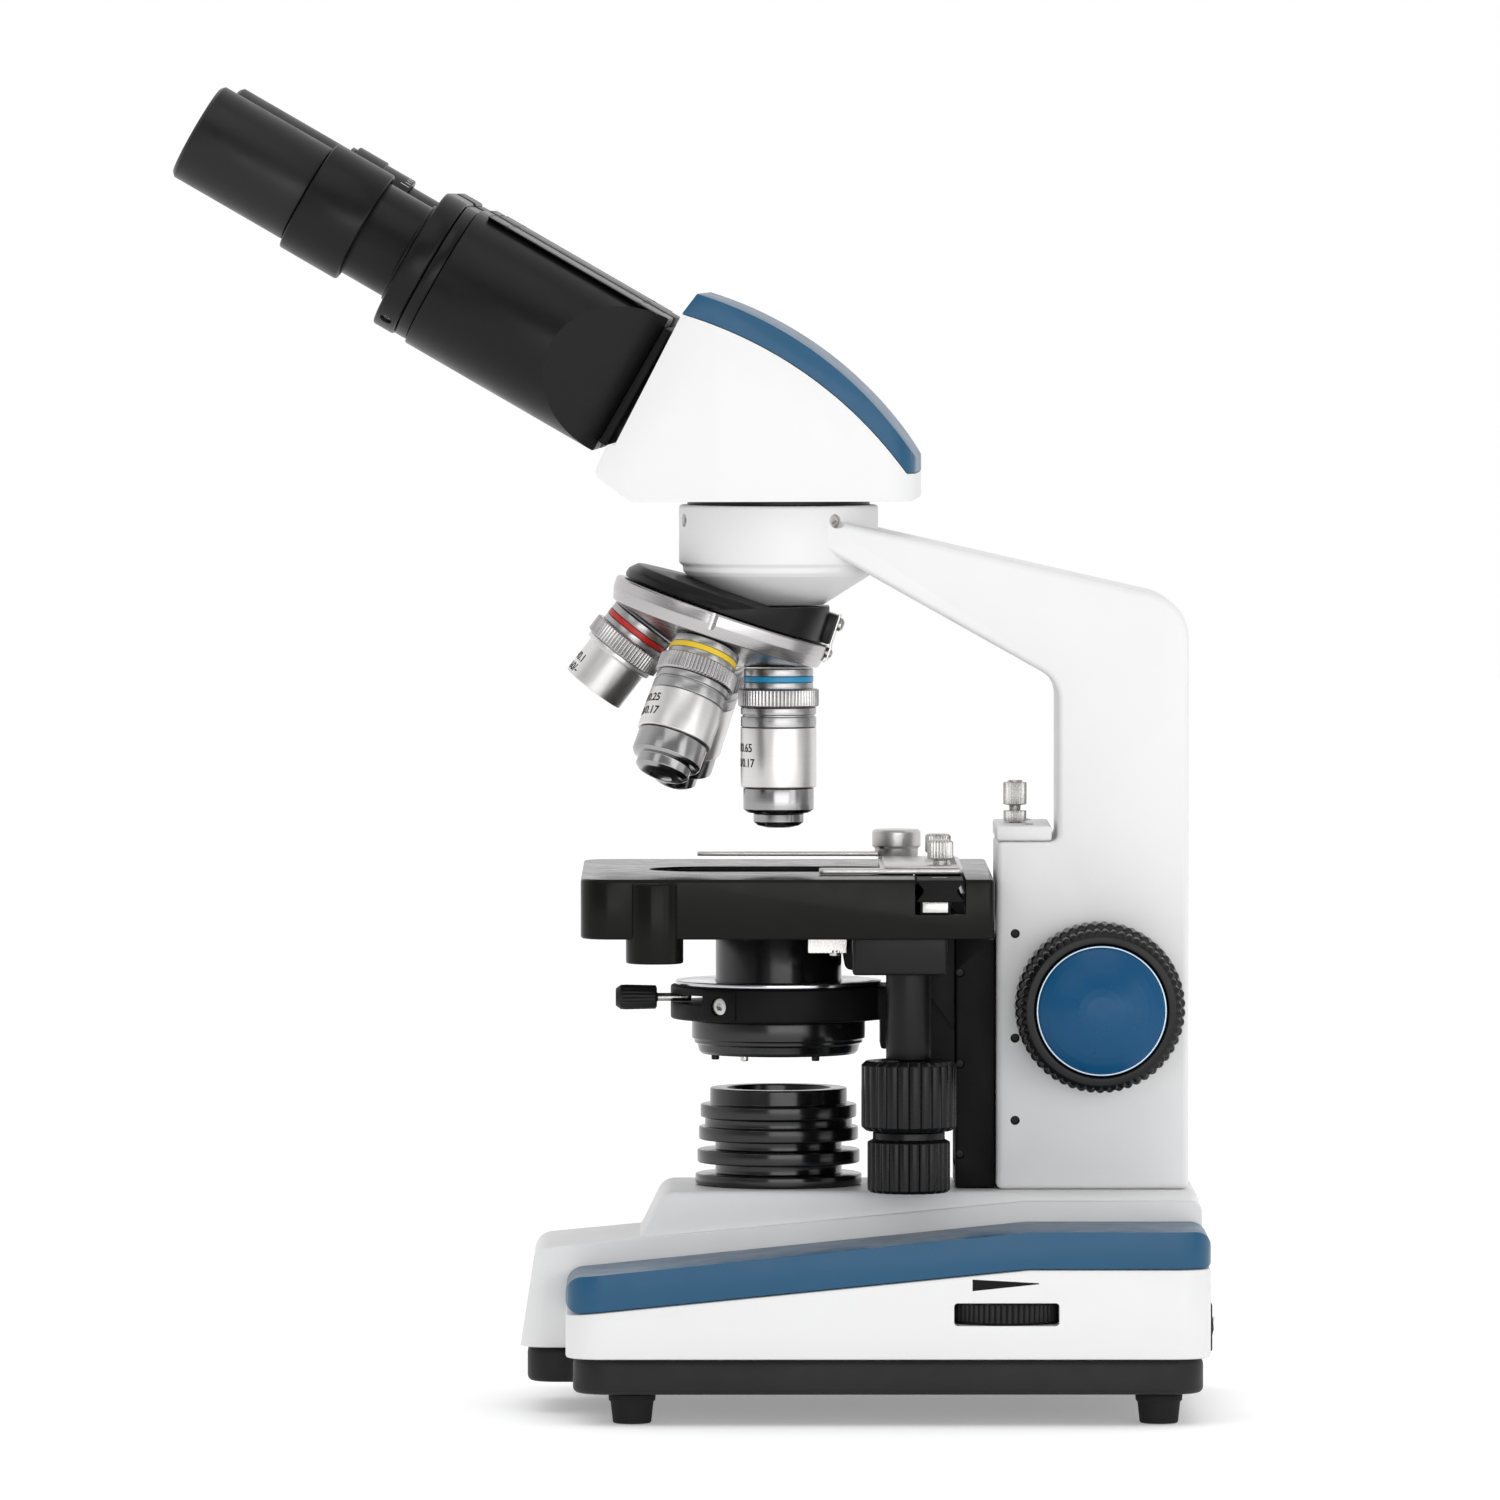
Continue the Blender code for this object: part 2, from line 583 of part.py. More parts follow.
def make_arm():
    start = 10.0
    top_at_axis = COLLAR_TOP - 0.4
    lower_at_axis = COLLAR_TOP - 5.0
    top_back = top_at_axis - ARM_SLOPE * COLUMN_BACK
    throat = lower_at_axis - THROAT_SLOPE * STEP_BACK
    foot = PLINTH_TOP + GAP
    corners = [(start, top_at_axis - ARM_SLOPE * start, 0), (COLUMN_BACK, top_back, ARM_TOP_CORNER),
               (COLUMN_BACK, foot, 0), (COLUMN_FRONT, foot, 0), (COLUMN_FRONT, STEP_TOP, 0),
               (STEP_BACK, STEP_TOP, 0), (STEP_BACK, throat, THROAT_CORNER),
               (start, lower_at_axis - THROAT_SLOPE * start, 0)]
    arm = side_plate("arm", round_corners(corners, 4), COLUMN_HALF_WIDTH, WHITE)
    soften(arm, 1.5)
    outside = collar_profile(0.0, COLLAR_TOP)
    mouth = outside[-1][1]
    join(arm, turned("collar", outside + [(0, mouth), (0, COLLAR_TOP)], None, ring=True))
    cut(arm, turned("light_path", [(0, COLLAR_TOP + 5), (COLLAR_BORE, COLLAR_TOP + 5),
                                   (COLLAR_BORE, mouth - 9), (0, mouth - 9)], None, steps=20))
    bore = COARSE_SHAFT + RUNNING_GAP
    reach = COLUMN_HALF_WIDTH + 5
    cut(arm, turned("shaft_bore", [(0, reach), (bore, reach), (bore, -reach), (0, -reach)], None,
                    place=(FOCUS_X, 0, FOCUS_Z), turn=(pi / 2, 0, 0), steps=20))
    hole = STOP_RADIUS + GAP
    cut(arm, turned("stop_hole", [(0, STEP_TOP + 5), (hole, STEP_TOP + 5), (hole, STEP_TOP - 12.8),
                                  (0, STEP_TOP - 12.8)], None, place=(STOP_X, 0, 0), steps=12))
    block("stage_guide", (COLUMN_FRONT - GAP - GUIDE_DEPTH, -GUIDE_HALF_WIDTH, foot),
          (COLUMN_FRONT - GAP, GUIDE_HALF_WIDTH, foot + GUIDE_HEIGHT), BLACK)
    nut = STOP_HEAD - 0.05
    turned("stop_screw", [(0, STEP_TOP + 11.8), (STOP_HEAD, STEP_TOP + 11.8), (STOP_HEAD, STEP_TOP + 4.8),
                          (STOP_RADIUS, STEP_TOP + 4.8), (STOP_RADIUS, STEP_TOP + 3.4), (nut, STEP_TOP + 3.4),
                          (nut, STEP_TOP + GAP), (STOP_RADIUS, STEP_TOP + GAP),
                          (STOP_RADIUS, STEP_TOP - 12), (0, STEP_TOP - 12)], STEEL,
           place=(STOP_X, 0, 0), steps=16)


# --- Nosepiece and objectives ---

def objective_profile(length, nose_radius, nose_length):
    """Outer side of an objective from its shoulder down, in distances from the apex."""
    s = -SHOULDER_TO_APEX - GAP
    tip = -SHOULDER_TO_APEX - length
    taper = tip + nose_length
    profile = [(0, s), (OBJECTIVE_NECK, s), (OBJECTIVE_NECK, s - 5.3), (KNURL_RADIUS, s - 5.4),
               (KNURL_RADIUS, s - 10.5), (OBJECTIVE_RADIUS, s - 10.6)]
    if nose_length > 0:
        profile += [(OBJECTIVE_RADIUS, taper + 7.0), (OBJECTIVE_RADIUS - 0.75, taper + 6.9),
                    (OBJECTIVE_RADIUS - 0.75, taper), (nose_radius, taper - 0.4),
                    (nose_radius, tip + 1.1), (nose_radius - 3.0, tip), (0, tip)]
    return profile


def make_nosepiece():
    outside = collar_profile(GAP, COLLAR_TOP + 5)
    mouth = outside[-1][1]
    dome = [(0, 6.5), (17, 5.9), (26.8, 4.9), (28.8, 2.6), (CAP_RADIUS, GAP), (0, GAP)]
    cap = turned("nosepiece_cap", [(r, h - DISC_FROM_APEX) for r, h in dome], BLACK, NOSE)
    foot = GAP - DISC_FROM_APEX
    wedge = turned("cap_wedge", [(0, -CAP_RADIUS), (CAP_RADIUS, -CAP_RADIUS), (CAP_RADIUS, foot), (0, foot)],
                   None, NOSE)
    keep(wedge, block("wedge_room", (-COLUMN_FRONT, -COLUMN_FRONT, STAGE_TOP),
                      (CAP_BACK_X, COLUMN_FRONT, mouth), None))
    join(cap, wedge)
    cut(cap, turned("collar_space", outside + [(0, mouth), (0, COLLAR_TOP + 5)], None, ring=True))
    slope = tan(NOSE_TILT)
    seat_radius = SHOULDER_TO_APEX * sin(NOSE_TILT)
    seat = DISC_FROM_APEX - SHOULDER_TO_APEX * cos(NOSE_TILT)
    flare = seat + (DISC_FLARE_RADIUS - seat_radius) * slope
    hub = seat - (seat_radius - HUB_RADIUS) * slope
    disc = [(0, 0), (DISC_RADIUS, 0), (DISC_RADIUS, -DISC_RIM), (DISC_FLARE_RADIUS, flare), (HUB_RADIUS, hub),
            (HUB_RADIUS - 1.8, hub - 1.5), (0, hub - 1.5)]
    turned("turret_disc", [(r, h - DISC_FROM_APEX) for r, h in disc], SATIN, NOSE)

    scan_tip = -SHOULDER_TO_APEX - 23.5
    scan_bore = 7.0
    scan_lower = OBJECTIVE_RADIUS - 1.5
    scan = objective_profile(0, 0, 0) + [(OBJECTIVE_RADIUS, scan_tip + 9), (scan_lower, scan_tip + 8),
                                         (scan_lower, scan_tip), (scan_bore, scan_tip),
                                         (scan_bore - 1, scan_tip + 4), (0, scan_tip + 5)]
    objectives = (("objective_4x", pi, scan),
                  ("objective_10x", -pi / 2, objective_profile(39.5, 7.6, 4.4)),
                  ("objective_40x", 0.0, objective_profile(OBJECTIVE_LENGTH, 7.0, 4.2)),
                  ("objective_100x", pi / 2, objective_profile(OBJECTIVE_LENGTH, 6.6, 5.5)))
    for name, azimuth, profile in objectives:
        turned(name, profile, SATIN, NOSE, turn=(0, -NOSE_TILT, azimuth), steps=20)


# --- Head ---

def head_plan():
    front = -60.0
    corners = [(front, -HEAD_FRONT_HALF_WIDTH, 0), (-15.0, -HEAD_FRONT_HALF_WIDTH, 20),
               (HEAD_BACK_X, -HEAD_BACK_HALF_WIDTH, 9), (HEAD_BACK_X, HEAD_BACK_HALF_WIDTH, 9),
               (-15.0, HEAD_FRONT_HALF_WIDTH, 20), (front, HEAD_FRONT_HALF_WIDTH, 0)]
    return round_corners(corners)


def on_face(up):
    """A point of the head's front face, a distance up along it from the eye tubes' axis."""
    return (FACE_X + up * sin(FACE_LEAN), COLLAR_TOP + FACE_HEIGHT + up * cos(FACE_LEAN))


def make_head():
    bottom = HEAD_BOTTOM
    face_top = on_face(FACE_TOP)
    crown = on_face(FACE_TOP + 6.5)
    under_cap = arc_through(face_top, (5.2, COLLAR_TOP + 39.2), (36.6, COLLAR_TOP + 9.0), 8)
    over_cap = arc_through((crown[0] + 1.0, crown[1]), (5.2, COLLAR_TOP + 46.9),
                           (HEAD_BACK_X, COLLAR_TOP + 13.6), 8)
    chin = [on_face(-18.0), (-49.3, bottom + 8.4), (-48.9, bottom + 6.1), (-39.2, bottom)]
    outline = chin + [(HEAD_BACK_X, bottom), (HEAD_BACK_X, COLLAR_TOP + 9.0)] + under_cap[::-1]
    housing = side_plate("head_housing", outline, HEAD_FRONT_HALF_WIDTH, WHITE, HEAD)
    plan = plate("head_plan", head_plan(), 3 * COLLAR_TOP, None, HEAD)
    keep(housing, plan)
    inner_x, inner_z = on_face(FACE_TOP)
    wall = HEAD_WALL + 1.0
    hollow = [(FACE_X + wall, bottom + wall), (HEAD_BACK_X - wall, bottom + wall),
              (HEAD_BACK_X - wall, inner_z + 10), (inner_x + wall, inner_z + 10),
              (inner_x + wall, inner_z - 4), (FACE_X + wall, COLLAR_TOP + FACE_HEIGHT - 4)]
    cut(housing, side_plate("head_hollow", hollow, HEAD_BACK_HALF_WIDTH - HEAD_WALL, None, HEAD))
    light = COLLAR_BORE
    cut(housing, turned("head_light_path", [(0, bottom + 9), (light, bottom + 9), (light, bottom - 9),
                                            (0, bottom - 9)], None, HEAD, steps=20))
    seam = [(x + GAP * 0.6, z + GAP) for x, z in under_cap]
    cap_outline = over_cap + [(HEAD_BACK_X, COLLAR_TOP + 9.0 + GAP)] + seam[::-1]
    cap = side_plate("head_cap", cap_outline, HEAD_FRONT_HALF_WIDTH, BLUE, HEAD)
    keep(cap, plan)
    flange = [(25.35, HEAD_BOTTOM - GAP), (25.35, COLLAR_TOP + GAP), (COLLAR_BORE, COLLAR_TOP + GAP),
              (COLLAR_BORE, HEAD_BOTTOM - GAP)]
    turned("head_flange", flange, BLACK, HEAD, ring=True)
    block("slide_plate", (BOX_BOTTOM + 3, -SLIDE_HALF_LENGTH, GAP),
          (BOX_TOP - 2.5, SLIDE_HALF_LENGTH, GAP + SLIDE_PLATE), BLACK, EYES)


def make_eye_side(side, sign):
    """One prism box with its tube and eyepiece. The box's rounded end faces outwards."""
    middle = (BOX_TOP + BOX_BOTTOM) / 2
    half = (BOX_TOP - BOX_BOTTOM) / 2
    turns = [pi * i / BOX_ROUND_STEPS for i in range(BOX_ROUND_STEPS + 1)]
    end = [(middle + half * cos(turn), sign * half * sin(turn)) for turn in turns]
    inner_side = -sign * BOX_INNER
    outline = end + [(BOX_BOTTOM, inner_side), (BOX_TOP, inner_side)]
    at = sign * TUBE_Y
    box = plate("prism_box_" + side, outline, BOX_LENGTH, BLACK, EYES, (0, at, (BOX_START + BOX_END) / 2))
    reach = 60.0
    facet_angle = atan2(half, FACET_LENGTH)
    facet_turn = pi / 2 - sign * (pi / 2 + facet_angle)
    cut(box, block("facet_" + side, (-reach, 0, -reach), (reach, reach, reach), None, EYES,
                   (0, at + sign * half, BOX_START + FACET_LENGTH), (facet_turn, 0, 0)))
    wall = BOX_WALL
    near, far = sorted((sign * (half - 4 * wall), sign * (wall - BOX_INNER)))
    cut(box, block("box_hollow_" + side, (BOX_BOTTOM + wall + 2, near, BOX_START + BOX_HOLLOW_START),
                   (BOX_TOP - wall - 2, far, BOX_END + 5), None, EYES, (0, at, 0)))
    plate_outline = [(x * 0.97, y) for x, y in outline]
    plate_middle = (BOX_END + GAP + TUBE_PLATE_END) / 2
    end_plate = plate("tube_plate_" + side, plate_outline, TUBE_PLATE - GAP, BLACK, EYES,
                      (0, at, plate_middle))
    bore = EYEPIECE_STEM + GAP
    cut(end_plate, turned("tube_hole_" + side, [(0, TUBE_PLATE_END + 5), (bore, TUBE_PLATE_END + 5),
                                                (bore, BOX_END - 5), (0, BOX_END - 5)],
                          None, EYES, (0, at, 0), steps=20))
    make_tube(side, at, bore)
    make_eyepiece(side, at)


def make_tube(side, at, bore):
    foot = TUBE_PLATE_END + GAP
    if side == "right":
        outer = [(SLEEVE_RADIUS, TUBE_END), (SLEEVE_RADIUS, SLEEVE_START), (TUBE_RADIUS, SLEEVE_START)]
    else:
        lip = TUBE_END - 1.4
        outer = [(SLEEVE_RADIUS - 1.0, TUBE_END), (SLEEVE_RADIUS - 1.0, lip), (TUBE_RADIUS, lip)]
        ring_top = lip - GAP
        ring_bore = TUBE_RADIUS + GAP
        ring = [(SLEEVE_RADIUS, ring_top), (SLEEVE_RADIUS, ring_top - SLEEVE_LENGTH),
                (ring_bore, ring_top - SLEEVE_LENGTH), (ring_bore, ring_top)]
        turned("diopter_ring", ring, BLACK, EYES, (0, at, 0), ring=True)
    profile = outer + [(TUBE_RADIUS, foot), (bore, foot), (bore, TUBE_END)]
    turned("eye_tube_" + side, profile, BLACK, EYES, (0, at, 0), ring=True)


def make_eyepiece(side, at):
    foot = TUBE_END + GAP
    top = foot + EYEPIECE_LENGTH
    stem_end = foot - EYEPIECE_STEM_LENGTH
    recess = EYE_LENS_RADIUS + GAP
    seat = top - 3.5
    profile = [(EYEPIECE_RADIUS - 1.2, top), (EYEPIECE_RADIUS, top - 1.2), (EYEPIECE_RADIUS, foot),
               (EYEPIECE_STEM, foot), (EYEPIECE_STEM, stem_end), (EYEPIECE_BORE, stem_end),
               (EYEPIECE_BORE, seat), (recess, seat), (recess, top)]
    turned("eyepiece_" + side, profile, PLASTIC, EYES, (0, at, 0), ring=True)
    low = seat + GAP
    turned("eyepiece_lens_" + side, [(0, low + 2.2), (6, low + 1.9), (EYE_LENS_RADIUS, low + 1.0),
                                     (EYE_LENS_RADIUS, low), (0, low)], GLASS, EYES, (0, at, 0), steps=20)


# --- Stage ---

def make_stage():
    corners = [(STAGE_BACK, -STAGE_HALF_WIDTH, 2), (STAGE_BACK, STAGE_HALF_WIDTH, 2),
               (STAGE_FRONT, STAGE_HALF_WIDTH, STAGE_CORNER), (STAGE_FRONT, -STAGE_HALF_WIDTH, STAGE_CORNER)]
    top = plate("stage_plate", round_corners(corners), STAGE_HEIGHT, BLACK,
                place=(0, 0, (STAGE_TOP + STAGE_BOTTOM) / 2))
    boss_y = BOSS_RADIUS - BOSS_PROUD - STAGE_HALF_WIDTH
    join(top, turned("stage_boss", [(0, STAGE_TOP - 1.2), (BOSS_RADIUS, STAGE_TOP - 1.2),
                                    (BOSS_RADIUS, STAGE_TOP - BOSS_BOTTOM), (0, STAGE_TOP - BOSS_BOTTOM)],
                     None, place=(BOSS_X, boss_y, 0), steps=20))
    inside = STAGE_HALF_WIDTH - STAGE_WALL
    hollow = block("stage_hollow", (STAGE_FRONT + STAGE_WALL, -inside, STAGE_BOTTOM - 5),
                   (STAGE_BACK + 5, inside, STAGE_CEILING), None)
    keep_boss = block("boss_corner", (STAGE_FRONT, -inside - 5, STAGE_BOTTOM - 30),
                      (BOSS_X + BOSS_RADIUS + 2, boss_y + BOSS_RADIUS + 2, STAGE_CEILING + 5), None)
    cut(hollow, keep_boss)
    cut(top, hollow)
    rail_back = RAIL_FRONT + RAIL_WIDTH
    cut(top, block("rail_notch", (RAIL_FRONT - GAP, -STAGE_HALF_WIDTH - 5, STAGE_CEILING),
                   (rail_back + GAP, STAGE_HALF_WIDTH + 5, STAGE_TOP + 5), None))
    slot = [(APERTURE_HALF_LENGTH, -APERTURE_HALF_WIDTH), (APERTURE_HALF_LENGTH, APERTURE_HALF_WIDTH),
            (-APERTURE_HALF_LENGTH, APERTURE_HALF_WIDTH), (-APERTURE_HALF_LENGTH, -APERTURE_HALF_WIDTH)]
    oval = round_corners([(x, y, APERTURE_HALF_WIDTH * 0.999) for x, y in slot], 6)
    cut(top, plate("aperture", oval, 60, None, place=(0, 0, STAGE_TOP)))
    make_rail(rail_back)
    make_holder(rail_back)
    make_bracket()


def make_rail(rail_back):
    """Dovetail rail for the slide holder, with its rack along the lower side."""
    top = STAGE_TOP - 0.2
    waist = top - 3.0
    low = top - 6.0
    rack = STAGE_CEILING + 0.1
    outline = [(RAIL_FRONT, top), (rail_back, top), (rail_back - 1.6, waist), (rail_back, low),
               (RAIL_FRONT + 9.4, low), (RAIL_FRONT + 9.4, rack), (RAIL_FRONT + 1.2, rack),
               (RAIL_FRONT + 1.2, low), (RAIL_FRONT, low), (RAIL_FRONT + 1.6, waist)]
    side_plate("holder_rail", outline, STAGE_HALF_WIDTH - 0.5, BLACK)


def make_holder(rail_back):
    """Plate that slides along the rail, with a fixed jaw on its right and a sprung finger on its left."""
    low = STAGE_TOP + GAP
    high = low + HOLDER_THICKNESS
    holder = block("slide_holder", (HOLDER_FRONT, -HOLDER_HALF_LENGTH, low),
                   (rail_back, HOLDER_HALF_LENGTH, high), STEEL)
    join(holder, block("fixed_jaw", (JAW_FRONT, -HOLDER_HALF_LENGTH, low),
                       (HOLDER_FRONT + 2, -HOLDER_HALF_LENGTH + JAW_WIDTH, high), None))
    pivot_y = HOLDER_HALF_LENGTH - 6.0
    post = 2.0
    join(holder, turned("finger_post", [(0, high + 1.6), (post, high + 1.6), (post, low), (0, low)], None,
                        place=(FINGER_PIVOT_X, pivot_y, 0), steps=12))
    finger_low = high + GAP
    cap_top = finger_low + 7.6
    hole = post + GAP
    finger = turned("slide_finger", [(0, cap_top), (FINGER_CAP_RADIUS - 1, cap_top),
                                     (FINGER_CAP_RADIUS, cap_top - 1), (FINGER_CAP_RADIUS, cap_top - 4.5),
                                     (4.5, cap_top - 5.5), (4.5, finger_low), (0, finger_low)], STEEL,
                    place=(FINGER_PIVOT_X, pivot_y, 0), steps=20)
    join(finger, block("finger_arm", (-FINGER_LENGTH, -FINGER_WIDTH / 2, finger_low + 0.01),
                       (0, FINGER_WIDTH / 2, finger_low + 1.4), None, place=(FINGER_PIVOT_X, pivot_y, 0)))
    cut(finger, turned("finger_hole", [(0, high + 2.2), (hole, high + 2.2), (hole, low), (0, low)], None,
                       place=(FINGER_PIVOT_X, pivot_y, 0), steps=12))


def make_bracket():
    """Carrier under the stage, with the carriage that runs on the column's guide."""
    low = STAGE_BOTTOM - CARRIAGE_DROP
    outline = [(BRACKET_FRONT, BRACKET_TOP), (CARRIAGE_BACK, BRACKET_TOP), (CARRIAGE_BACK, low),
               (CARRIAGE_FRONT, low), (CARRIAGE_FRONT, BRACKET_BOTTOM), (18.0, BRACKET_BOTTOM),
               (18.0, STAGE_BOTTOM + 0.5), (BRACKET_FRONT, STAGE_BOTTOM + 0.5)]
    bracket = side_plate("stage_bracket", outline, BRACKET_HALF_WIDTH, BLACK)
    opening = CONDENSER_UPPER + 2.5
    neck = CONDENSER_UPPER + 1.0
    cut(bracket, turned("condenser_opening", [(0, BRACKET_TOP + 5), (opening, BRACKET_TOP + 5),
                                              (opening, STAGE_BOTTOM - 5), (neck, STAGE_BOTTOM - 5),
                                              (neck, BRACKET_BOTTOM - 5), (0, BRACKET_BOTTOM - 5)], None))
    hole = CONTROL_SHAFT + RUNNING_GAP
    cut(bracket, turned("condenser_knob_bore", [(0, 0), (hole, 0), (hole, -22), (0, -22)], None,
                        place=((CARRIAGE_FRONT + CARRIAGE_BACK) / 2, BRACKET_HALF_WIDTH + 5,
                               low + 9.0), turn=(-pi / 2, 0, 0), steps=16))
    knob = 9.0
    turned("condenser_knob", [(0, 16), (knob - 1, 16), (knob, 15), (knob, 5), (knob - 2, 3.5),
                              (CONTROL_SHAFT, 3.5), (CONTROL_SHAFT, -14), (0, -14)], PLASTIC,
           place=((CARRIAGE_FRONT + CARRIAGE_BACK) / 2, BRACKET_HALF_WIDTH, low + 9.0),
           turn=(-pi / 2, 0, 0), steps=20)


def make_stage_control():
    """Gear housing with two knobs on one axis, hung under the stage's right-hand side."""
    lower_start = PLINTH_TOP + 0.8
    lower_end = lower_start + LOWER_KNOB_LENGTH
    upper_start = lower_end + KNOB_NECK
    upper_end = upper_start + UPPER_KNOB_LENGTH
    here = (CONTROL_X, CONTROL_Y, 0)
    box = block("xy_column", (-15.6, -10, BRACKET_BOTTOM), (10.4, 10, STAGE_CEILING - GAP), BLACK, place=here)
    join(box, turned("xy_barrel", [(0, BRACKET_BOTTOM + 3), (CONTROL_RADIUS, BRACKET_BOTTOM + 3),
                                   (CONTROL_RADIUS, upper_end + GAP), (0, upper_end + GAP)],
                     None, place=here, steps=20))
    bore = CONTROL_SHAFT + RUNNING_GAP
    shaft_top = BRACKET_BOTTOM
    cut(box, turned("xy_bore", [(0, shaft_top + 1), (bore, shaft_top + 1), (bore, upper_end - 5),
                                (0, upper_end - 5)], None, place=here, steps=16))
    turned("xy_upper_knob", [(bore, upper_end), (UPPER_KNOB_RADIUS - 1, upper_end),
                             (UPPER_KNOB_RADIUS, upper_end - 1), (UPPER_KNOB_RADIUS, upper_start + 1),
                             (UPPER_KNOB_RADIUS - 1, upper_start), (bore, upper_start)],
           PLASTIC, place=here, ring=True)
    turned("xy_lower_knob", [(0, shaft_top), (CONTROL_SHAFT, shaft_top), (CONTROL_SHAFT, upper_start - GAP),
                             (9.9, upper_start - GAP), (9.9, lower_end), (LOWER_KNOB_RADIUS, lower_end - 0.8),
                             (LOWER_KNOB_RADIUS, lower_start + 0.8), (LOWER_KNOB_RADIUS - 0.8, lower_start),
                             (0, lower_start)], PLASTIC, place=here)


# --- Condenser ---

def make_condenser():
    top = STAGE_TOP - CONDENSER_TOP
    rim_low = RING_TOP_Z + GAP
    rim_high = rim_low + 0.9
    low = RING_BOTTOM_Z - GAP
    barrel = [(CONDENSER_LENS_MOUNT, top), (CONDENSER_LENS_MOUNT, top - 4.3), (CONDENSER_UPPER, top - 5.0),
              (CONDENSER_UPPER, RING_TOP_Z), (CONDENSER_MIDDLE, RING_TOP_Z), (CONDENSER_MIDDLE, low),
              (CONDENSER_LOWER, low), (CONDENSER_LOWER, low - 6.5), (CONDENSER_LOWER - 2, low - 6.6),
              (CONDENSER_LOWER - 2, low - 9.5), (CONDENSER_BORE, low - 9.5), (CONDENSER_BORE, top)]
    turned("condenser_barrel", barrel, BLACK, ring=True)
    rim_bore = CONDENSER_UPPER + GAP
    turned("condenser_rim", [(RIM_RADIUS, rim_high), (RIM_RADIUS, rim_low), (rim_bore, rim_low),
                             (rim_bore, rim_high)], CHROME, ring=True)
    lens = CONDENSER_BORE - GAP
    turned("condenser_lens", [(0, top + 0.4), (4, top + 0.1), (lens, top - 1.2), (lens, top - 4),
                              (0, top - 4)], GLASS, steps=20)
    bore = CONDENSER_MIDDLE + GAP
    mount = turned("condenser_mount", [(RING_RADIUS, RING_TOP_Z), (RING_RADIUS, RING_BOTTOM_Z),
                                       (bore, RING_BOTTOM_Z), (bore, RING_TOP_Z)], BLACK, ring=True)
    arm_end = CARRIAGE_FRONT - GAP
    join(mount, block("mount_arm", (bore + 4, -12, RING_BOTTOM_Z), (arm_end, 12, RING_TOP_Z), None))
    join(mount, block("mount_slide", (CONDENSER_LOWER + 4, -12, RING_BOTTOM_Z - 8),
                      (arm_end, 12, RING_TOP_Z - 2), None))
    slot_half = LEVER_ROD_RADIUS + 0.6
    lever_z = STAGE_TOP - LEVER_DROP
    cut(mount, block("lever_slot", (-RING_RADIUS - 5, -22, lever_z - slot_half),
                     (-bore + 2, 22, lever_z + slot_half), None))
    rod_start = bore + 4.2
    grip_start = LEVER_LENGTH - LEVER_GRIP
    turned("iris_lever", [(0, LEVER_LENGTH), (LEVER_GRIP_RADIUS - 0.8, LEVER_LENGTH),
                          (LEVER_GRIP_RADIUS, LEVER_LENGTH - 0.8), (LEVER_GRIP_RADIUS, grip_start),
                          (LEVER_ROD_RADIUS, grip_start), (LEVER_ROD_RADIUS, rod_start), (0, rod_start)],
           PLASTIC, place=(0, 0, lever_z), turn=(0, -pi / 2, 0), steps=16)


# --- Focus controls ---

def make_focus():
    here = (FOCUS_X, 0, FOCUS_Z)
    shaft_end = COLUMN_HALF_WIDTH + 1.0
    bore = FINE_SHAFT + RUNNING_GAP
    lay = (pi / 2, 0, 0)
    turned("coarse_shaft", [(COARSE_SHAFT, shaft_end), (COARSE_SHAFT, -shaft_end), (bore, -shaft_end),
                            (bore, shaft_end)], STEEL, place=here, turn=lay, steps=20, ring=True)
    coarse_start = shaft_end + GAP
    coarse_end = coarse_start + COARSE_WIDTH
    fine_start = coarse_end + GAP
    fine_end = fine_start + FINE_WIDTH
    turned("fine_shaft", [(0, coarse_end), (FINE_SHAFT, coarse_end), (FINE_SHAFT, -coarse_end),
                          (0, -coarse_end)], STEEL, place=here, turn=lay, steps=16)
    for side, turn in (("right", lay), ("left", (-pi / 2, 0, 0))):
        turned("coarse_knob_" + side, [(COARSE_RADIUS - 1, coarse_end), (COARSE_RADIUS, coarse_end - 1),
                                       (COARSE_RADIUS, coarse_start + 1), (COARSE_RADIUS - 1, coarse_start),
                                       (bore, coarse_start), (bore, coarse_end)],
               PLASTIC, place=here, turn=turn, ring=True)
        turned("fine_knob_" + side, [(0, fine_end + FINE_CAP_RISE), (7, fine_end + FINE_CAP_RISE - 0.8),
                                     (13, fine_end + FINE_CAP_RISE - 3), (FINE_CAP_RADIUS, fine_end + 0.4),
                                     (FINE_CAP_RADIUS, fine_end), (FINE_RADIUS - 1.5, fine_end),
                                     (FINE_RADIUS, fine_end - 1.5), (FINE_RADIUS, fine_start),
                                     (0, fine_start)], KNOB_BLUE, place=here, turn=turn)


make_base()
make_collector()
make_arm()
make_nosepiece()
make_head()
make_eye_side("right", -1)
make_eye_side("left", 1)
make_stage()
make_stage_control()
make_condenser()
make_focus()
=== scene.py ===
"""Looks of a binocular microscope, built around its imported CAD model.

Lengths are in millimetres and are turned into metres where meshes are made. Places come from the
frame: the boxes of its nodes and the axes of its joints. Each piece is modelled in a local frame, whose
origin and axes are those of the assembly that it belongs to.
"""
import json
from math import acos, atan2, cos, hypot, pi, radians, sin, tan

import bmesh
import bpy
from mathutils import Matrix, Vector


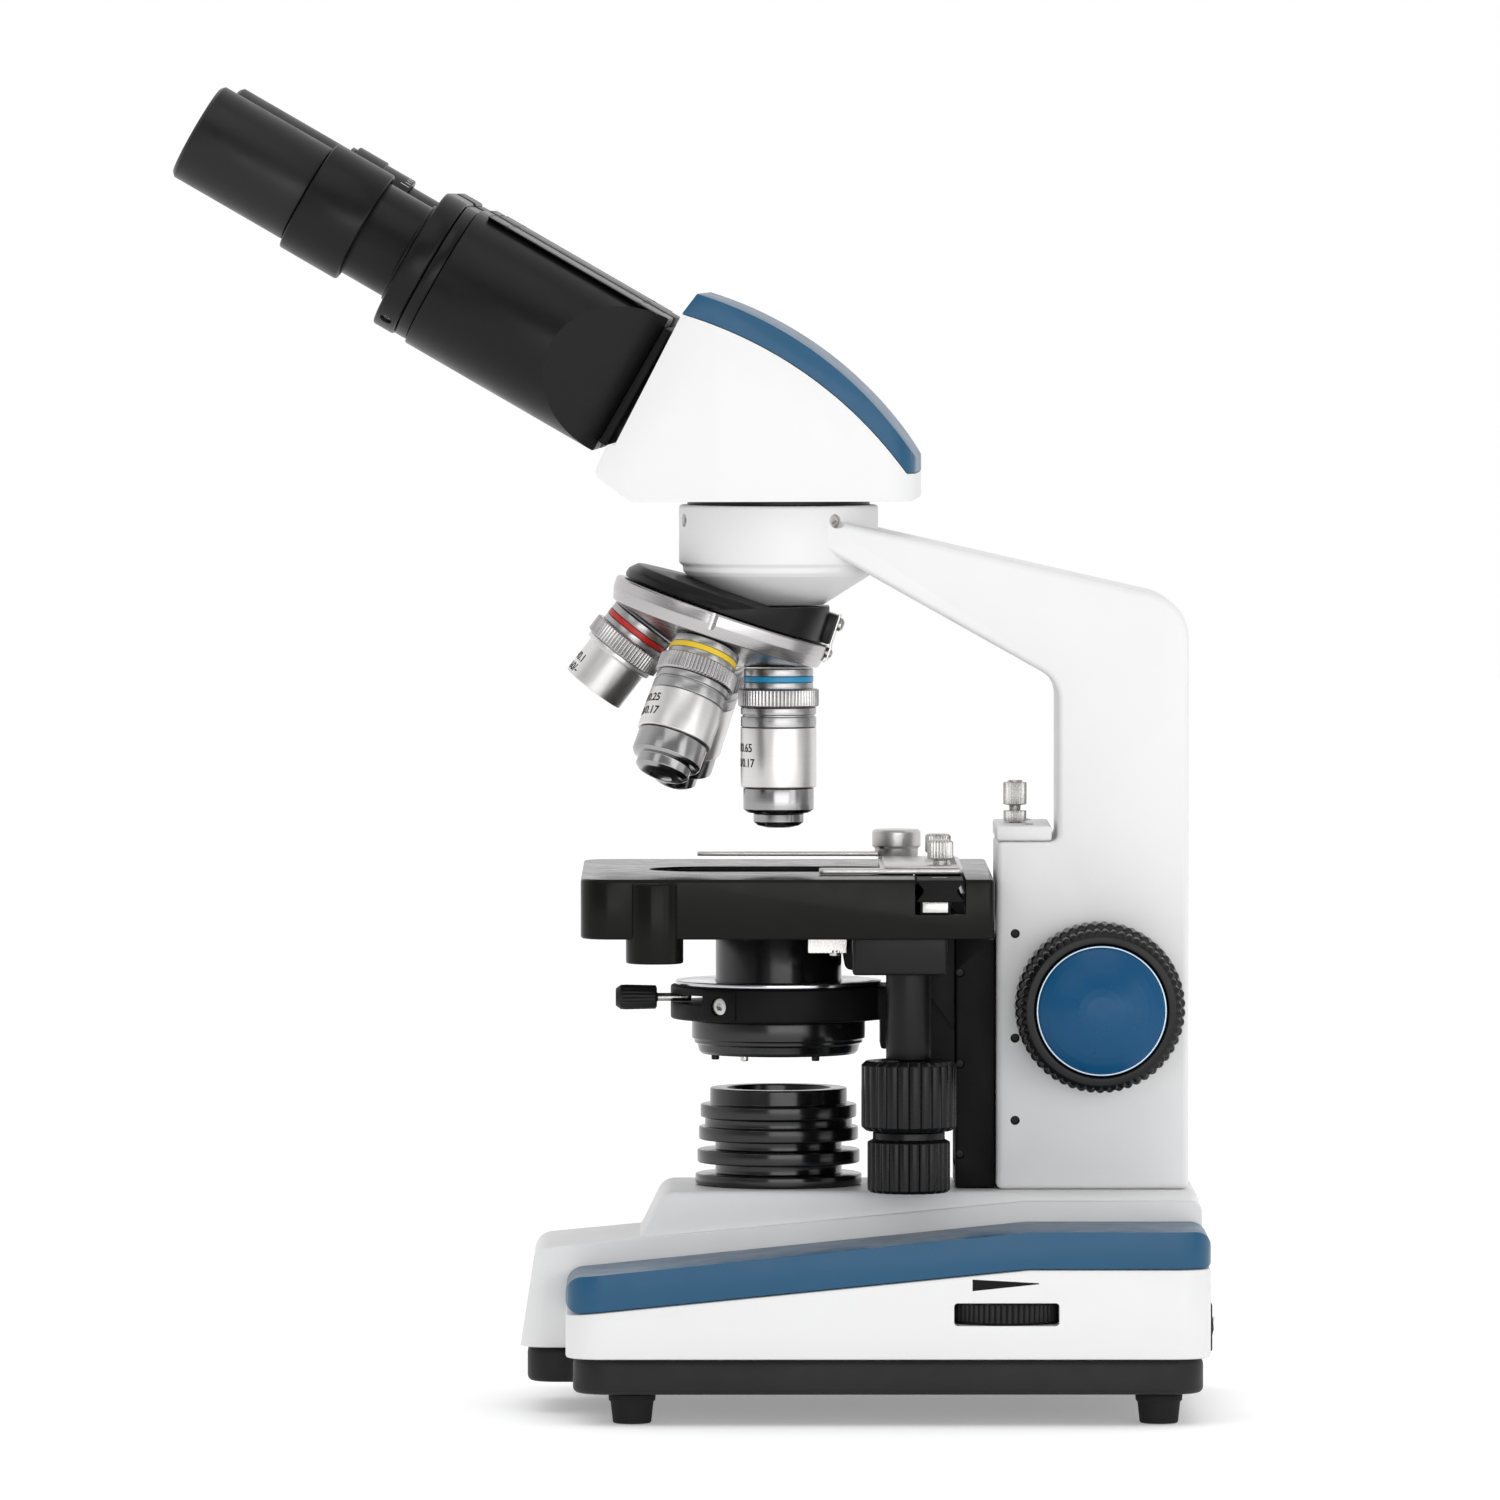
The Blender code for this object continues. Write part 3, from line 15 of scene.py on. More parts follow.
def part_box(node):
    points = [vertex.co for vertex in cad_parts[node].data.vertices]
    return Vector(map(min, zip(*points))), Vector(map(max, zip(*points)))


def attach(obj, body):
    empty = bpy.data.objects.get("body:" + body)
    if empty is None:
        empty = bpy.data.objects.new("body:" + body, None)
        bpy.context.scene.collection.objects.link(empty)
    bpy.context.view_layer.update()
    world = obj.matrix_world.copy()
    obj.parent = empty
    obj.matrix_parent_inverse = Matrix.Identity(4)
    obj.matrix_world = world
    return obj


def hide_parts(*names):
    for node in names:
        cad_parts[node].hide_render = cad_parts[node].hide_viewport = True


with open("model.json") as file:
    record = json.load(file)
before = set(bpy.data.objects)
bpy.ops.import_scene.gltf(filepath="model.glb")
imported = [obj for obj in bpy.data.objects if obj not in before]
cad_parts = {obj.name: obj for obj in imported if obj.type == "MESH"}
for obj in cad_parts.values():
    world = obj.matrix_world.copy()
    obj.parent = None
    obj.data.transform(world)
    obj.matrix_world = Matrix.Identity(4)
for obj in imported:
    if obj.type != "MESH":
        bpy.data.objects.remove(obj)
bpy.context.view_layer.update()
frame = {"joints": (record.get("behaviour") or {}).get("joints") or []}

MM = 0.001
SHARP_ANGLE = 32.0              # edges folded more than this, in degrees, stay sharp
FLAT_ANGLE = 1.0                # faces that meet at less than this are melted into one
WELD = 0.002                    # points nearer than this, in millimetres, are joined
JOINTS = {joint["name"]: joint for joint in frame["joints"]}


def joint_axis(name):
    return Vector(JOINTS[name]["axis"])


def joint_place(name):
    return Vector(JOINTS[name]["pos_m"])


def axes_frame(place, x_axis, y_axis, z_axis):
    turn = Matrix((x_axis, y_axis, z_axis)).transposed().to_4x4()
    return Matrix.Translation(place) @ turn


def side_frame(y_axis, z_axis, place):
    return axes_frame(place, y_axis.cross(z_axis), y_axis, z_axis)


# --- Local frames of the assemblies ---

AXIS_X = joint_place("head_turn").x / MM
STAND = Matrix.Translation((AXIS_X * MM, 0, 0))
LEFTWARD = joint_axis("eye_left_spacing")
HEAD = STAND @ Matrix.Rotation(atan2(-LEFTWARD.x, LEFTWARD.y), 4, "Z")
TUBE_WAY = joint_axis("eyepiece_right_pull")
DIOPTER_TO_TUBE_END = 10.0      # the joint's point lies this far down the tube
TUBE_Y = 31.0
TUBE_END = 105.9                # from the head's front face
EYES = side_frame(LEFTWARD, TUBE_WAY, joint_place("diopter_turn")
                  - LEFTWARD * TUBE_Y * MM - TUBE_WAY * (TUBE_END - DIOPTER_TO_TUBE_END) * MM)
NOSE_WAY = joint_axis("turret_turn")
NOSE_TILT = acos(NOSE_WAY.z)
DISC_FROM_APEX = 48.0           # the objectives' axes meet this far above the disc
NOSE = side_frame(Vector((-NOSE_WAY.y, NOSE_WAY.x, 0)).normalized(), NOSE_WAY,
                  joint_place("turret_turn") + NOSE_WAY * DISC_FROM_APEX * MM)
SHOULDER = 61.4


def low(node):
    """A node's lowest corner in millimetres, with X counted from the optical axis."""
    return (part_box(node)[0] - Vector((AXIS_X * MM, 0, 0))) / MM


def high(node):
    return (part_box(node)[1] - Vector((AXIS_X * MM, 0, 0))) / MM


def middle_of(node):
    return (low(node) + high(node)) / 2


def joint_spot(name):
    """A joint's place in millimetres, with X counted from the optical axis."""
    return joint_place(name) / MM - Vector((AXIS_X, 0, 0))


SIDES = (("right", -1), ("left", 1))
PLINTH_TOP = high("base_housing").z
COLLAR_TOP = high("arm").z
STAGE_TOP = low("slide_holder").z - 0.3
STAGE_BOTTOM = STAGE_TOP - 16.5


# --- Materials ---

class Nodes:
    """Adds and links shader nodes of one material."""

    def __init__(self, name, slot, colour, roughness, metallic=0.0):
        self.slot = slot
        self.material = bpy.data.materials.new(name)
        self.material.use_nodes = True
        self.tree = self.material.node_tree
        self.shader = self.tree.nodes["Principled BSDF"]
        self.shader.inputs["Base Color"].default_value = (*colour, 1.0)
        self.shader.inputs["Roughness"].default_value = roughness
        self.shader.inputs["Metallic"].default_value = metallic
        self.place = self.add("ShaderNodeTexCoord").outputs["Object"]
        self.height = None

    def add(self, kind, **values):
        node = self.tree.nodes.new(kind)
        for name, value in values.items():
            node.inputs[name.replace("_", " ")].default_value = value
        return node

    def link(self, source, target):
        self.tree.links.new(source, target)

    def noise(self, per_mm, detail=2.0, stretch=(1.0, 1.0, 1.0)):
        mapping = self.add("ShaderNodeMapping", Scale=stretch)
        self.link(self.place, mapping.inputs["Vector"])
        noise = self.add("ShaderNodeTexNoise", Scale=per_mm * 1000.0, Detail=detail, Roughness=0.55)
        self.link(mapping.outputs["Vector"], noise.inputs["Vector"])
        return noise.outputs["Fac"]

    def spread(self, value, lowest, highest, start=0.3, end=0.7):
        ramp = self.add("ShaderNodeMapRange", From_Min=start, From_Max=end, To_Min=lowest, To_Max=highest)
        self.link(value, ramp.inputs["Value"])
        return ramp.outputs["Result"]

    def tint(self, value, dark, light):
        mix = self.tree.nodes.new("ShaderNodeMix")
        mix.data_type = "RGBA"
        for socket in mix.inputs:
            if socket.identifier == "A_Color":
                socket.default_value = (*dark, 1.0)
            if socket.identifier == "B_Color":
                socket.default_value = (*light, 1.0)
        self.link(value, mix.inputs["Factor"])
        result = [socket for socket in mix.outputs if socket.identifier == "Result_Color"][0]
        self.link(result, self.shader.inputs["Base Color"])

    def rough(self, value):
        self.link(value, self.shader.inputs["Roughness"])

    def bump(self, value, strength, depth):
        bump = self.add("ShaderNodeBump", Strength=strength, Distance=depth * MM)
        self.link(value, bump.inputs["Height"])
        if self.height is not None:
            self.link(self.height, bump.inputs["Normal"])
        self.height = bump.outputs["Normal"]
        self.link(self.height, self.shader.inputs["Normal"])


def painted(name, slot, colour, roughness, grain, depth, shift=0.03):
    """Sprayed or moulded surface: fine grain, slow shifts of tone and of gloss."""
    made = Nodes(name, slot, colour, roughness)
    cloud = made.noise(0.02, 3.0)
    dark = tuple(c * (1.0 - shift) for c in colour)
    light = tuple(min(1.0, c * (1.0 + shift)) for c in colour)
    made.tint(made.spread(cloud, 0.0, 1.0), dark, light)
    made.rough(made.spread(made.noise(0.15, 3.0), roughness - 0.04, roughness + 0.05))
    made.bump(made.noise(grain, 2.0), 0.35, depth)
    return made


def turned_metal(name, slot, colour, roughness, strength=0.25, along=(0.08, 0.08, 30.0)):
    """Lathe-turned metal: fine rings round the piece's own axis."""
    made = Nodes(name, slot, colour, roughness, 1.0)
    rings = made.noise(0.25, 3.0, along)
    dark = tuple(c * 0.9 for c in colour)
    made.tint(made.spread(rings, 0.0, 1.0), dark, colour)
    made.rough(made.spread(made.noise(0.6, 3.0, along), roughness - 0.05, roughness + 0.08))
    made.bump(rings, strength, 0.02)
    return made


WHITE = painted("white_paint", "white_paint", (0.76, 0.76, 0.76), 0.38, 1.3, 0.02, 0.006)
BLUE = painted("blue_trim", "blue_trim", (0.012, 0.080, 0.165), 0.33, 2.0, 0.03, 0.05)
CAP_BLUE = painted("blue_cap", "blue_cap", (0.003, 0.066, 0.165), 0.30, 2.5, 0.012, 0.05)
BLACK = painted("black_satin", "black_satin", (0.0055, 0.0055, 0.0057), 0.32, 2.6, 0.02, 0.2)
STAGE_BLACK = painted("stage_black", "black_satin", (0.006, 0.006, 0.006), 0.46, 1.6, 0.05, 0.25)
STAGE_TABLE = painted("stage_table_black", "black_satin", (0.0055, 0.0053, 0.0048), 0.20, 1.6, 0.015, 0.25)
PLASTIC = painted("black_plastic", "black_plastic", (0.010, 0.010, 0.010), 0.42, 2.2, 0.03, 0.2)
DARK_PLASTIC = painted("bottom_plastic", "black_plastic", (0.012, 0.012, 0.012), 0.5, 1.5, 0.05, 0.2)
RUBBER = painted("black_rubber", "black_rubber", (0.012, 0.012, 0.012), 0.75, 1.2, 0.06, 0.2)
INK = painted("black_ink", "black_plastic", (0.008, 0.008, 0.008), 0.6, 2.5, 0.005, 0.2)
BOARD = painted("circuit_board", "circuit_board", (0.02, 0.2, 0.06), 0.5, 1.0, 0.03, 0.2)
RED = painted("red_ring", "blue_cap", (0.5, 0.012, 0.01), 0.35, 2.5, 0.01, 0.05)
YELLOW = painted("yellow_ring", "blue_cap", (0.75, 0.52, 0.02), 0.35, 2.5, 0.01, 0.05)
CYAN = painted("blue_ring", "blue_cap", (0.01, 0.28, 0.55), 0.35, 2.5, 0.01, 0.05)
PALE = painted("white_ring", "white_paint", (0.8, 0.8, 0.8), 0.35, 2.5, 0.01, 0.02)
GLOSS_BLACK = painted("gloss_black", "black_satin", (0.006, 0.006, 0.006), 0.18, 2.6, 0.01, 0.2)
GRIP_BLACK = painted("grip_black", "black_plastic", (0.006, 0.006, 0.006), 0.26, 2.4, 0.02, 0.2)
EYE_BLACK = painted("eyepiece_black", "black_plastic", (0.0075, 0.0075, 0.0077), 0.36, 2.4, 0.02, 0.2)
CAP_RIM = turned_metal("cap_rim", "chrome", (0.35, 0.45, 0.55), 0.25, 0.1)
CHROME = turned_metal("chrome", "chrome", (0.58, 0.58, 0.60), 0.17, 0.12)
SATIN = turned_metal("satin_chrome", "satin_chrome", (0.50, 0.49, 0.49), 0.24, 0.15)
OBJECTIVE_SATIN = turned_metal("objective_satin", "satin_chrome", (0.76, 0.74, 0.735), 0.33, 0.15)
OBJECTIVE_RINGS = turned_metal("objective_rings", "satin_chrome", (0.42, 0.415, 0.42), 0.27, 0.1)
DARK_CHROME = turned_metal("dark_chrome", "chrome", (0.36, 0.355, 0.36), 0.18, 0.1)
HOLDER_STEEL = turned_metal("holder_steel", "steel", (0.60, 0.59, 0.58), 0.33, 0.2, (2.0, 14.0, 2.0))
STEEL = turned_metal("steel", "steel", (0.62, 0.61, 0.59), 0.28, 0.3, (4.0, 4.0, 4.0))
for dull, level in ((STAGE_BLACK, 0.1), (STAGE_TABLE, 0.12), (DARK_PLASTIC, 0.25), (RUBBER, 0.2),
                    (INK, 0.1), (BLACK, 0.2),
                    (EYE_BLACK, 0.28), (GRIP_BLACK, 0.22), (PLASTIC, 0.25), (BLUE, 0.3), (CAP_BLUE, 0.22)):
    dull.shader.inputs["Specular IOR Level"].default_value = level
LENS = Nodes("glass", "glass", (0.9, 0.95, 0.96), 0.03)
LENS.shader.inputs["Transmission Weight"].default_value = 1.0
LENS.shader.inputs["IOR"].default_value = 1.5
LENS.rough(LENS.spread(LENS.noise(0.3), 0.02, 0.05))


# --- Mesh helpers, in millimetres ---

def flat_round(corners, steps=4):
    """Turns each (x, y, radius) corner into an arc that is tangent to its sides."""
    points = []
    for i, (x, y, radius) in enumerate(corners):
        here = Vector((x, y))
        if radius <= 0.0:
            points.append(here)
            continue
        before = (Vector(corners[i - 1][:2]) - here).normalized()
        after = (Vector(corners[(i + 1) % len(corners)][:2]) - here).normalized()
        half = acos(max(-1.0, min(1.0, before.dot(after)))) / 2
        if half > radians(89.5):
            points.append(here)
            continue
        centre = here + (before + after).normalized() * (radius / sin(half))
        start = here + before * (radius / tan(half)) - centre
        end = here + after * (radius / tan(half)) - centre
        first = atan2(start.y, start.x)
        sweep = (atan2(end.y, end.x) - first + pi) % (2 * pi) - pi
        for step in range(steps + 1):
            angle = first + sweep * step / steps
            points.append(centre + Vector((cos(angle), sin(angle))) * radius)
    return points


def rounded_box(left, right, bottom, top, radius):
    return flat_round([(left, bottom, radius), (right, bottom, radius), (right, top, radius),
                       (left, top, radius)])


def soft_profile(points, radius, closed):
    """Rounds a lathe profile's corners, each as far as its sides allow."""
    count = len(points)
    corners = []
    for i, (x, y) in enumerate(points):
        is_end = not closed and i in (0, count - 1)
        if is_end:
            corners.append((x, y, 0.0))
            continue
        here = Vector((x, y))
        before = Vector(points[i - 1]) - here
        after = Vector(points[(i + 1) % count]) - here
        half = acos(max(-1.0, min(1.0, before.normalized().dot(after.normalized())))) / 2
        room = 0.45 * min(before.length, after.length) * tan(half)
        corners.append((x, y, min(radius, room)))
    return flat_round(corners, 3)


def as_mesh(name, bm):
    bmesh.ops.scale(bm, vec=(MM, MM, MM), verts=bm.verts)
    mesh = bpy.data.meshes.new(name)
    bm.normal_update()
    bm.to_mesh(mesh)
    bm.free()
    mesh.shade_smooth()
    mesh.set_sharp_from_angle(angle=radians(SHARP_ANGLE))
    return mesh


def lathe_bm(points, steps, closed, ripple=None):
    """Turns (radius, height) points round Z. ripple(angle, height) gives a share added to the radius."""
    bm = bmesh.new()
    rings = []
    for radius, height in points:
        if radius < 1e-6:
            rings.append([bm.verts.new((0, 0, height))])
            continue
        ring = []
        for step in range(steps):
            angle = 2 * pi * step / steps
            r = radius + (ripple(angle, radius, height) if ripple else 0.0)
            ring.append(bm.verts.new((r * cos(angle), r * sin(angle), height)))
        rings.append(ring)
    pairs = list(zip(rings, rings[1:])) + ([(rings[-1], rings[0])] if closed else [])
    for upper, lower in pairs:
        if len(upper) == 1 and len(lower) == 1:
            continue
        for step in range(steps):
            after = (step + 1) % steps
            if len(upper) == 1:
                bm.faces.new((upper[0], lower[step], lower[after]))
            elif len(lower) == 1:
                bm.faces.new((upper[step], lower[0], upper[after]))
            else:
                bm.faces.new((upper[step], lower[step], lower[after], upper[after]))
    bmesh.ops.recalc_face_normals(bm, faces=bm.faces)
    return bm


def rod_bm(radius, top, bottom, steps):
    return lathe_bm([(0, top), (radius, top), (radius, bottom), (0, bottom)], steps, False)


def prism_bm(outline, depth, edge=0.0, segments=3, axis="Z"):
    """Extrudes an outline by depth, centred, and rounds the long edges."""
    bm = bmesh.new()
    near = [bm.verts.new((x, y, -depth / 2)) for x, y in outline]
    far = [bm.verts.new((x, y, depth / 2)) for x, y in outline]
    bm.faces.new(near[::-1])
    bm.faces.new(far)
    for i in range(len(outline)):
        after = (i + 1) % len(outline)
        bm.faces.new((near[i], near[after], far[after], far[i]))
    bmesh.ops.recalc_face_normals(bm, faces=bm.faces)
    if edge > 0.0:
        round_edges(bm, edge, segments)
    if axis == "Y":
        bmesh.ops.rotate(bm, verts=bm.verts, cent=(0, 0, 0), matrix=Matrix.Rotation(pi / 2, 3, "X"))
    return bm


def round_edges(bm, width, segments=3, angle=35.0):
    sharp = [e for e in bm.edges if len(e.link_faces) == 2 and e.calc_face_angle() > radians(angle)]
    bmesh.ops.bevel(bm, geom=sharp, offset=width, offset_type="OFFSET", segments=segments, profile=0.5,
                    affect="EDGES", clamp_overlap=True, miter_outer="ARC")


def box_bm(lowest, highest, edge=0.0, segments=3):
    bm = bmesh.new()
    bmesh.ops.create_cube(bm, size=1.0)
    for vert in bm.verts:
        vert.co = Vector([(a + b) / 2 + v * (b - a) for a, b, v in zip(lowest, highest, vert.co)])
    if edge > 0.0:
        round_edges(bm, edge, segments)
    return bm


def moved(bm, place=(0, 0, 0), turn=None):
    if turn is not None:
        bmesh.ops.rotate(bm, verts=bm.verts, cent=(0, 0, 0), matrix=turn.to_3x3())
    bmesh.ops.translate(bm, verts=bm.verts, vec=place)
    return bm


def about(axis, degrees):
    return Matrix.Rotation(radians(degrees), 4, axis)


def heading(angle):
    return Vector((cos(angle), sin(angle), 0))


def facing(direction):
    """Turns Z to a direction."""
    return direction.to_track_quat("Z", "Y").to_matrix().to_4x4()


def combined(bm, tool, operation):
    """Boolean of two bmeshes in millimetres."""
    made = []
    for part in (bm, tool):
        mesh = bpy.data.meshes.new("step")
        part.to_mesh(mesh)
        part.free()
        thing = bpy.data.objects.new("step", mesh)
        bpy.context.scene.collection.objects.link(thing)
        made.append(thing)
    modifier = made[0].modifiers.new("step", "BOOLEAN")
    modifier.operation = operation
    modifier.object = made[1]
    depsgraph = bpy.context.evaluated_depsgraph_get()
    result = bmesh.new()
    result.from_object(made[0], depsgraph)
    for thing in made:
        mesh = thing.data
        bpy.data.objects.remove(thing, do_unlink=True)
        bpy.data.meshes.remove(mesh)
    bmesh.ops.remove_doubles(result, verts=result.verts, dist=WELD)
    return result


def added(bm, tool):
    return combined(bm, tool, "UNION")


def without(bm, tool):
    return combined(bm, tool, "DIFFERENCE")


def common(bm, tool):
    return combined(bm, tool, "INTERSECT")


def cleaned(bm):
    """Melts flat seams that Booleans leave, so that edges bevel evenly."""
    bmesh.ops.dissolve_limit(bm, angle_limit=radians(FLAT_ANGLE), verts=bm.verts, edges=bm.edges)
    return bm


def piece(name, bm, material, body, place=STAND, nodes=(), baked=False):
    """Makes a piece of a bmesh in millimetres, in a local frame, and lets it ride on a body.

    A baked piece keeps its tilt in its mesh, so that its own box is no larger than it is.
    """
    mesh = as_mesh(name, bm)
    if baked:
        mesh.transform(place)
        place = Matrix()
    thing = bpy.data.objects.new(name, mesh)
    bpy.context.scene.collection.objects.link(thing)
    mesh.materials.append(material.material)
    thing.matrix_world = place
    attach(thing, body)
    if nodes:
        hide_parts(*nodes)
    return thing


def at(frame_matrix, x=0.0, y=0.0, z=0.0, turn=None):
    """A frame moved by millimetres along its own axes, and turned."""
    made = frame_matrix @ Matrix.Translation((x * MM, y * MM, z * MM))
    return made @ turn if turn is not None else made


def turned(name, points, material, body, place=STAND, nodes=(), radius=0.3, steps=72, ring=False,
           ripple=None, baked=False):
    soft = soft_profile(points, radius, ring) if radius > 0 else points
    return piece(name, lathe_bm(soft, steps, ring, ripple), material, body, place, nodes, baked)


def teeth(count, depth, lowest=-1e9, highest=1e9, least=0.0, power=1.0):
    """A ripple of rounded ridges between two heights, beyond a least radius."""
    def ripple(angle, radius, height):
        if lowest <= height <= highest and radius >= least:
            return depth * (abs(sin(count * angle / 2)) ** power - 1.0)
        return 0.0
    return ripple


# --- Camera, floor and light ---

CAMERA_DISTANCE = 4000.0
CAMERA_HEIGHT = 335.3
CAMERA_SIDE = -21.9             # from the optical axis
CAMERA_PITCH = 2.19             # degrees down
CAMERA_YAW = 0.2
CAMERA_LENS = 345.6
FLOOR_SIZE = 6.0
FLOOR_DROP = 0.0002             # metres below the feet, so that no faces coincide


def make_studio():
    camera = bpy.data.cameras.new("camera")
    camera.lens = CAMERA_LENS
    camera.sensor_width = 36.0
    camera.clip_end = 20.0
    eye = bpy.data.objects.new("camera", camera)
    bpy.context.scene.collection.objects.link(eye)
    eye.location = ((AXIS_X + CAMERA_SIDE) * MM, -CAMERA_DISTANCE * MM, CAMERA_HEIGHT * MM)
    eye.rotation_euler = (radians(90.0 - CAMERA_PITCH), 0.0, radians(-CAMERA_YAW))
    bpy.context.scene.camera = eye

    floor_mesh = bpy.data.meshes.new("floor")
    bm = bmesh.new()
    bmesh.ops.create_grid(bm, x_segments=1, y_segments=1, size=FLOOR_SIZE)
    bm.to_mesh(floor_mesh)
    bm.free()
    floor = bpy.data.objects.new("floor", floor_mesh)
    bpy.context.scene.collection.objects.link(floor)
    floor.location = (0, 0, -FLOOR_DROP)
    pale = Nodes("floor", "white_paint", (0.93, 0.93, 0.93), 0.7)
    pale.tint(pale.noise(0.002), (0.92, 0.92, 0.92), (0.94, 0.94, 0.94))
    pale.shader.inputs["Emission Color"].default_value = (1.0, 1.0, 1.0, 1.0)
    pale.shader.inputs["Emission Strength"].default_value = 0.28
    floor_mesh.materials.append(pale.material)

    world = bpy.data.worlds.new("studio")
    bpy.context.scene.world = world
    world.use_nodes = True
    nodes, links = world.node_tree.nodes, world.node_tree.links
    nodes["Background"].inputs["Color"].default_value = (1.0, 1.0, 1.0, 1.0)
    direction = nodes.new("ShaderNodeTexCoord").outputs["Generated"]
    split = nodes.new("ShaderNodeSeparateXYZ")
    links.new(direction, split.inputs["Vector"])
    dim_front = nodes.new("ShaderNodeMapRange")
    for name, value in (("From Min", -0.6), ("From Max", 0.1), ("To Min", 0.36), ("To Max", 1.0)):
        dim_front.inputs[name].default_value = value
    links.new(split.outputs["Y"], dim_front.inputs["Value"])
    links.new(dim_front.outputs["Result"], nodes["Background"].inputs["Strength"])

    def softbox(name, place, aim, size, power):
        light = bpy.data.lights.new(name, "AREA")
        light.shape = "RECTANGLE"
        light.size, light.size_y = size
        light.energy = power
        lamp = bpy.data.objects.new(name, light)
        bpy.context.scene.collection.objects.link(lamp)
        lamp.location = place
        lamp.rotation_euler = (Vector(aim) - Vector(place)).to_track_quat("-Z", "Y").to_euler()

    middle = (0.0, 0.0, 0.18)
    softbox("key", (-0.9, -1.3, 1.0), middle, (0.7, 0.9), 2.2)
    softbox("fill", (1.3, -1.2, 0.5), middle, (0.6, 1.0), 3.0)
    softbox("top", (0.1, -0.9, 1.6), middle, (1.2, 1.2), 5.0)
    softbox("low", (0.3, -1.5, 0.25), (0.0, 0.0, 0.03), (1.4, 0.4), 5.0)
    bpy.context.scene.view_settings.view_transform = "Standard"


make_studio()

# --- Base ---

TRIM_LOW = low("trim_right")
TRIM_HIGH = high("trim_right")
TRIM_HEIGHT = 10.2
HALF_WIDTH = high("base_housing").y
LOBE_HALF = -TRIM_HIGH.y - 0.3
LOBE_FRONT = low("base_housing").x
FLOOR = low("base_housing").z
POD_BEND = (-11.0, 34.9)
POD_LEVEL_X = 68.0
SHOULDER_RISE = 5.6
PLINTH_FRONT = -32.0
PLINTH_HALF = 29.0
LIGHT_BORE = 13.0


def base_plan(inset):
    corner = 10.0
    side = HALF_WIDTH - inset
    front = TRIM_LOW.x + inset
    back = TRIM_HIGH.x - inset
    lobe = LOBE_FRONT + inset
    lobe_side = LOBE_HALF - inset
    corners = [(back, -side, corner), (back, side, corner), (front, side, corner), (front, lobe_side, 2.0),
               (lobe, lobe_side, 8.0), (lobe, -lobe_side, 8.0), (front, -lobe_side, 2.0),
               (front, -side, corner)]
    return flat_round(corners, 8)


def pod_line(rise):
    """The line that pods, trim and shoulder follow, front to back."""
    level = TRIM_HIGH.z - TRIM_HEIGHT
    stations = ((TRIM_LOW.x, TRIM_LOW.z - 0.3), POD_BEND, (POD_LEVEL_X, level), (TRIM_HIGH.x, level))
    return [(x, z + rise) for x, z in stations]


def make_housing():
    plan = base_plan(0.0)
    pods = prism_bm([(TRIM_HIGH.x, FLOOR), (TRIM_LOW.x, FLOOR)] + pod_line(-0.05), 2 * HALF_WIDTH, axis="Y")
    pods = cleaned(common(pods, prism_bm(plan, 400)))
    round_edges(pods, 0.8, 2)
    top = pod_line(TRIM_HEIGHT + SHOULDER_RISE)
    back = TRIM_HIGH.x - 1.2
    corners = [(back, FLOOR, 0), (LOBE_FRONT, FLOOR, 0), (LOBE_FRONT + 4.2, top[0][1] - 0.2, 5.0),
               (top[1][0], top[1][1], 0), (top[2][0], top[2][1], 0), (back, top[3][1], 3.0)]
    shoulder = prism_bm(flat_round(corners, 6), 2 * LOBE_HALF, axis="Y")
    shoulder = cleaned(common(shoulder, prism_bm(plan, 400)))
    round_edges(shoulder, 2.6, 4)
    foot = top[1][1] - 4.0
    corners = [(PLINTH_FRONT - 11.0, foot - 2.5, 0), (PLINTH_FRONT - 6.2, foot + 2.2, 7.0),
               (PLINTH_FRONT, PLINTH_TOP, 5.0), (TRIM_HIGH.x - 2.1, PLINTH_TOP, 3.0),
               (TRIM_HIGH.x - 2.1, foot - 6.0, 0)]
    plinth = prism_bm(flat_round(corners, 6), 2 * PLINTH_HALF, axis="Y")
    round_edges(plinth, 2.0, 4)
    housing = added(added(pods, shoulder), plinth)
    wheel_low, wheel_high = low("dimmer_wheel"), high("dimmer_wheel")
    middle = (wheel_low + wheel_high) / 2
    slot_half = 14.4
    slot_rise = (wheel_high.z - wheel_low.z) / 2 + 0.4
    outline = rounded_box(middle.x - slot_half, middle.x + slot_half, middle.z - slot_rise,
                          middle.z + slot_rise, 1)
    slot_depth = 10.0
    slot = moved(prism_bm(outline, slot_depth, axis="Y"), (0, -HALF_WIDTH + 3.0, 0))
    housing = without(housing, slot)
    radius = middle.y - wheel_low.y
    housing = without(housing, moved(rod_bm(radius + 0.6, slot_rise, -slot_rise, 72),
                                     (middle.x, middle.y, middle.z)))
    housing = without(housing, moved(prism_bm(wedge_outline(), 0.3, axis="Y"), (0, -HALF_WIDTH, 0)))
    rocker_low, rocker_high = low("rocker_switch"), high("rocker_switch")
    room = Vector((0, 0.3, 0.8))
    housing = without(housing, box_bm(rocker_low - room - Vector((2, 0, 0)),
                                      rocker_high + room + Vector((2, 0, 0))))
    jack = middle_of("power_jack")
    bore = (high("power_jack").y - low("power_jack").y) / 2 + 0.1
    tool = rod_bm(bore, 12, -12, 48)
    housing = without(housing, moved(tool, jack, about("Y", 90)))
    well = rod_bm(LIGHT_BORE, PLINTH_TOP + 5, PLINTH_TOP - 15, 64)
    housing = without(housing, well)
    piece("housing", housing, WHITE, "stand", nodes=["base_housing"])


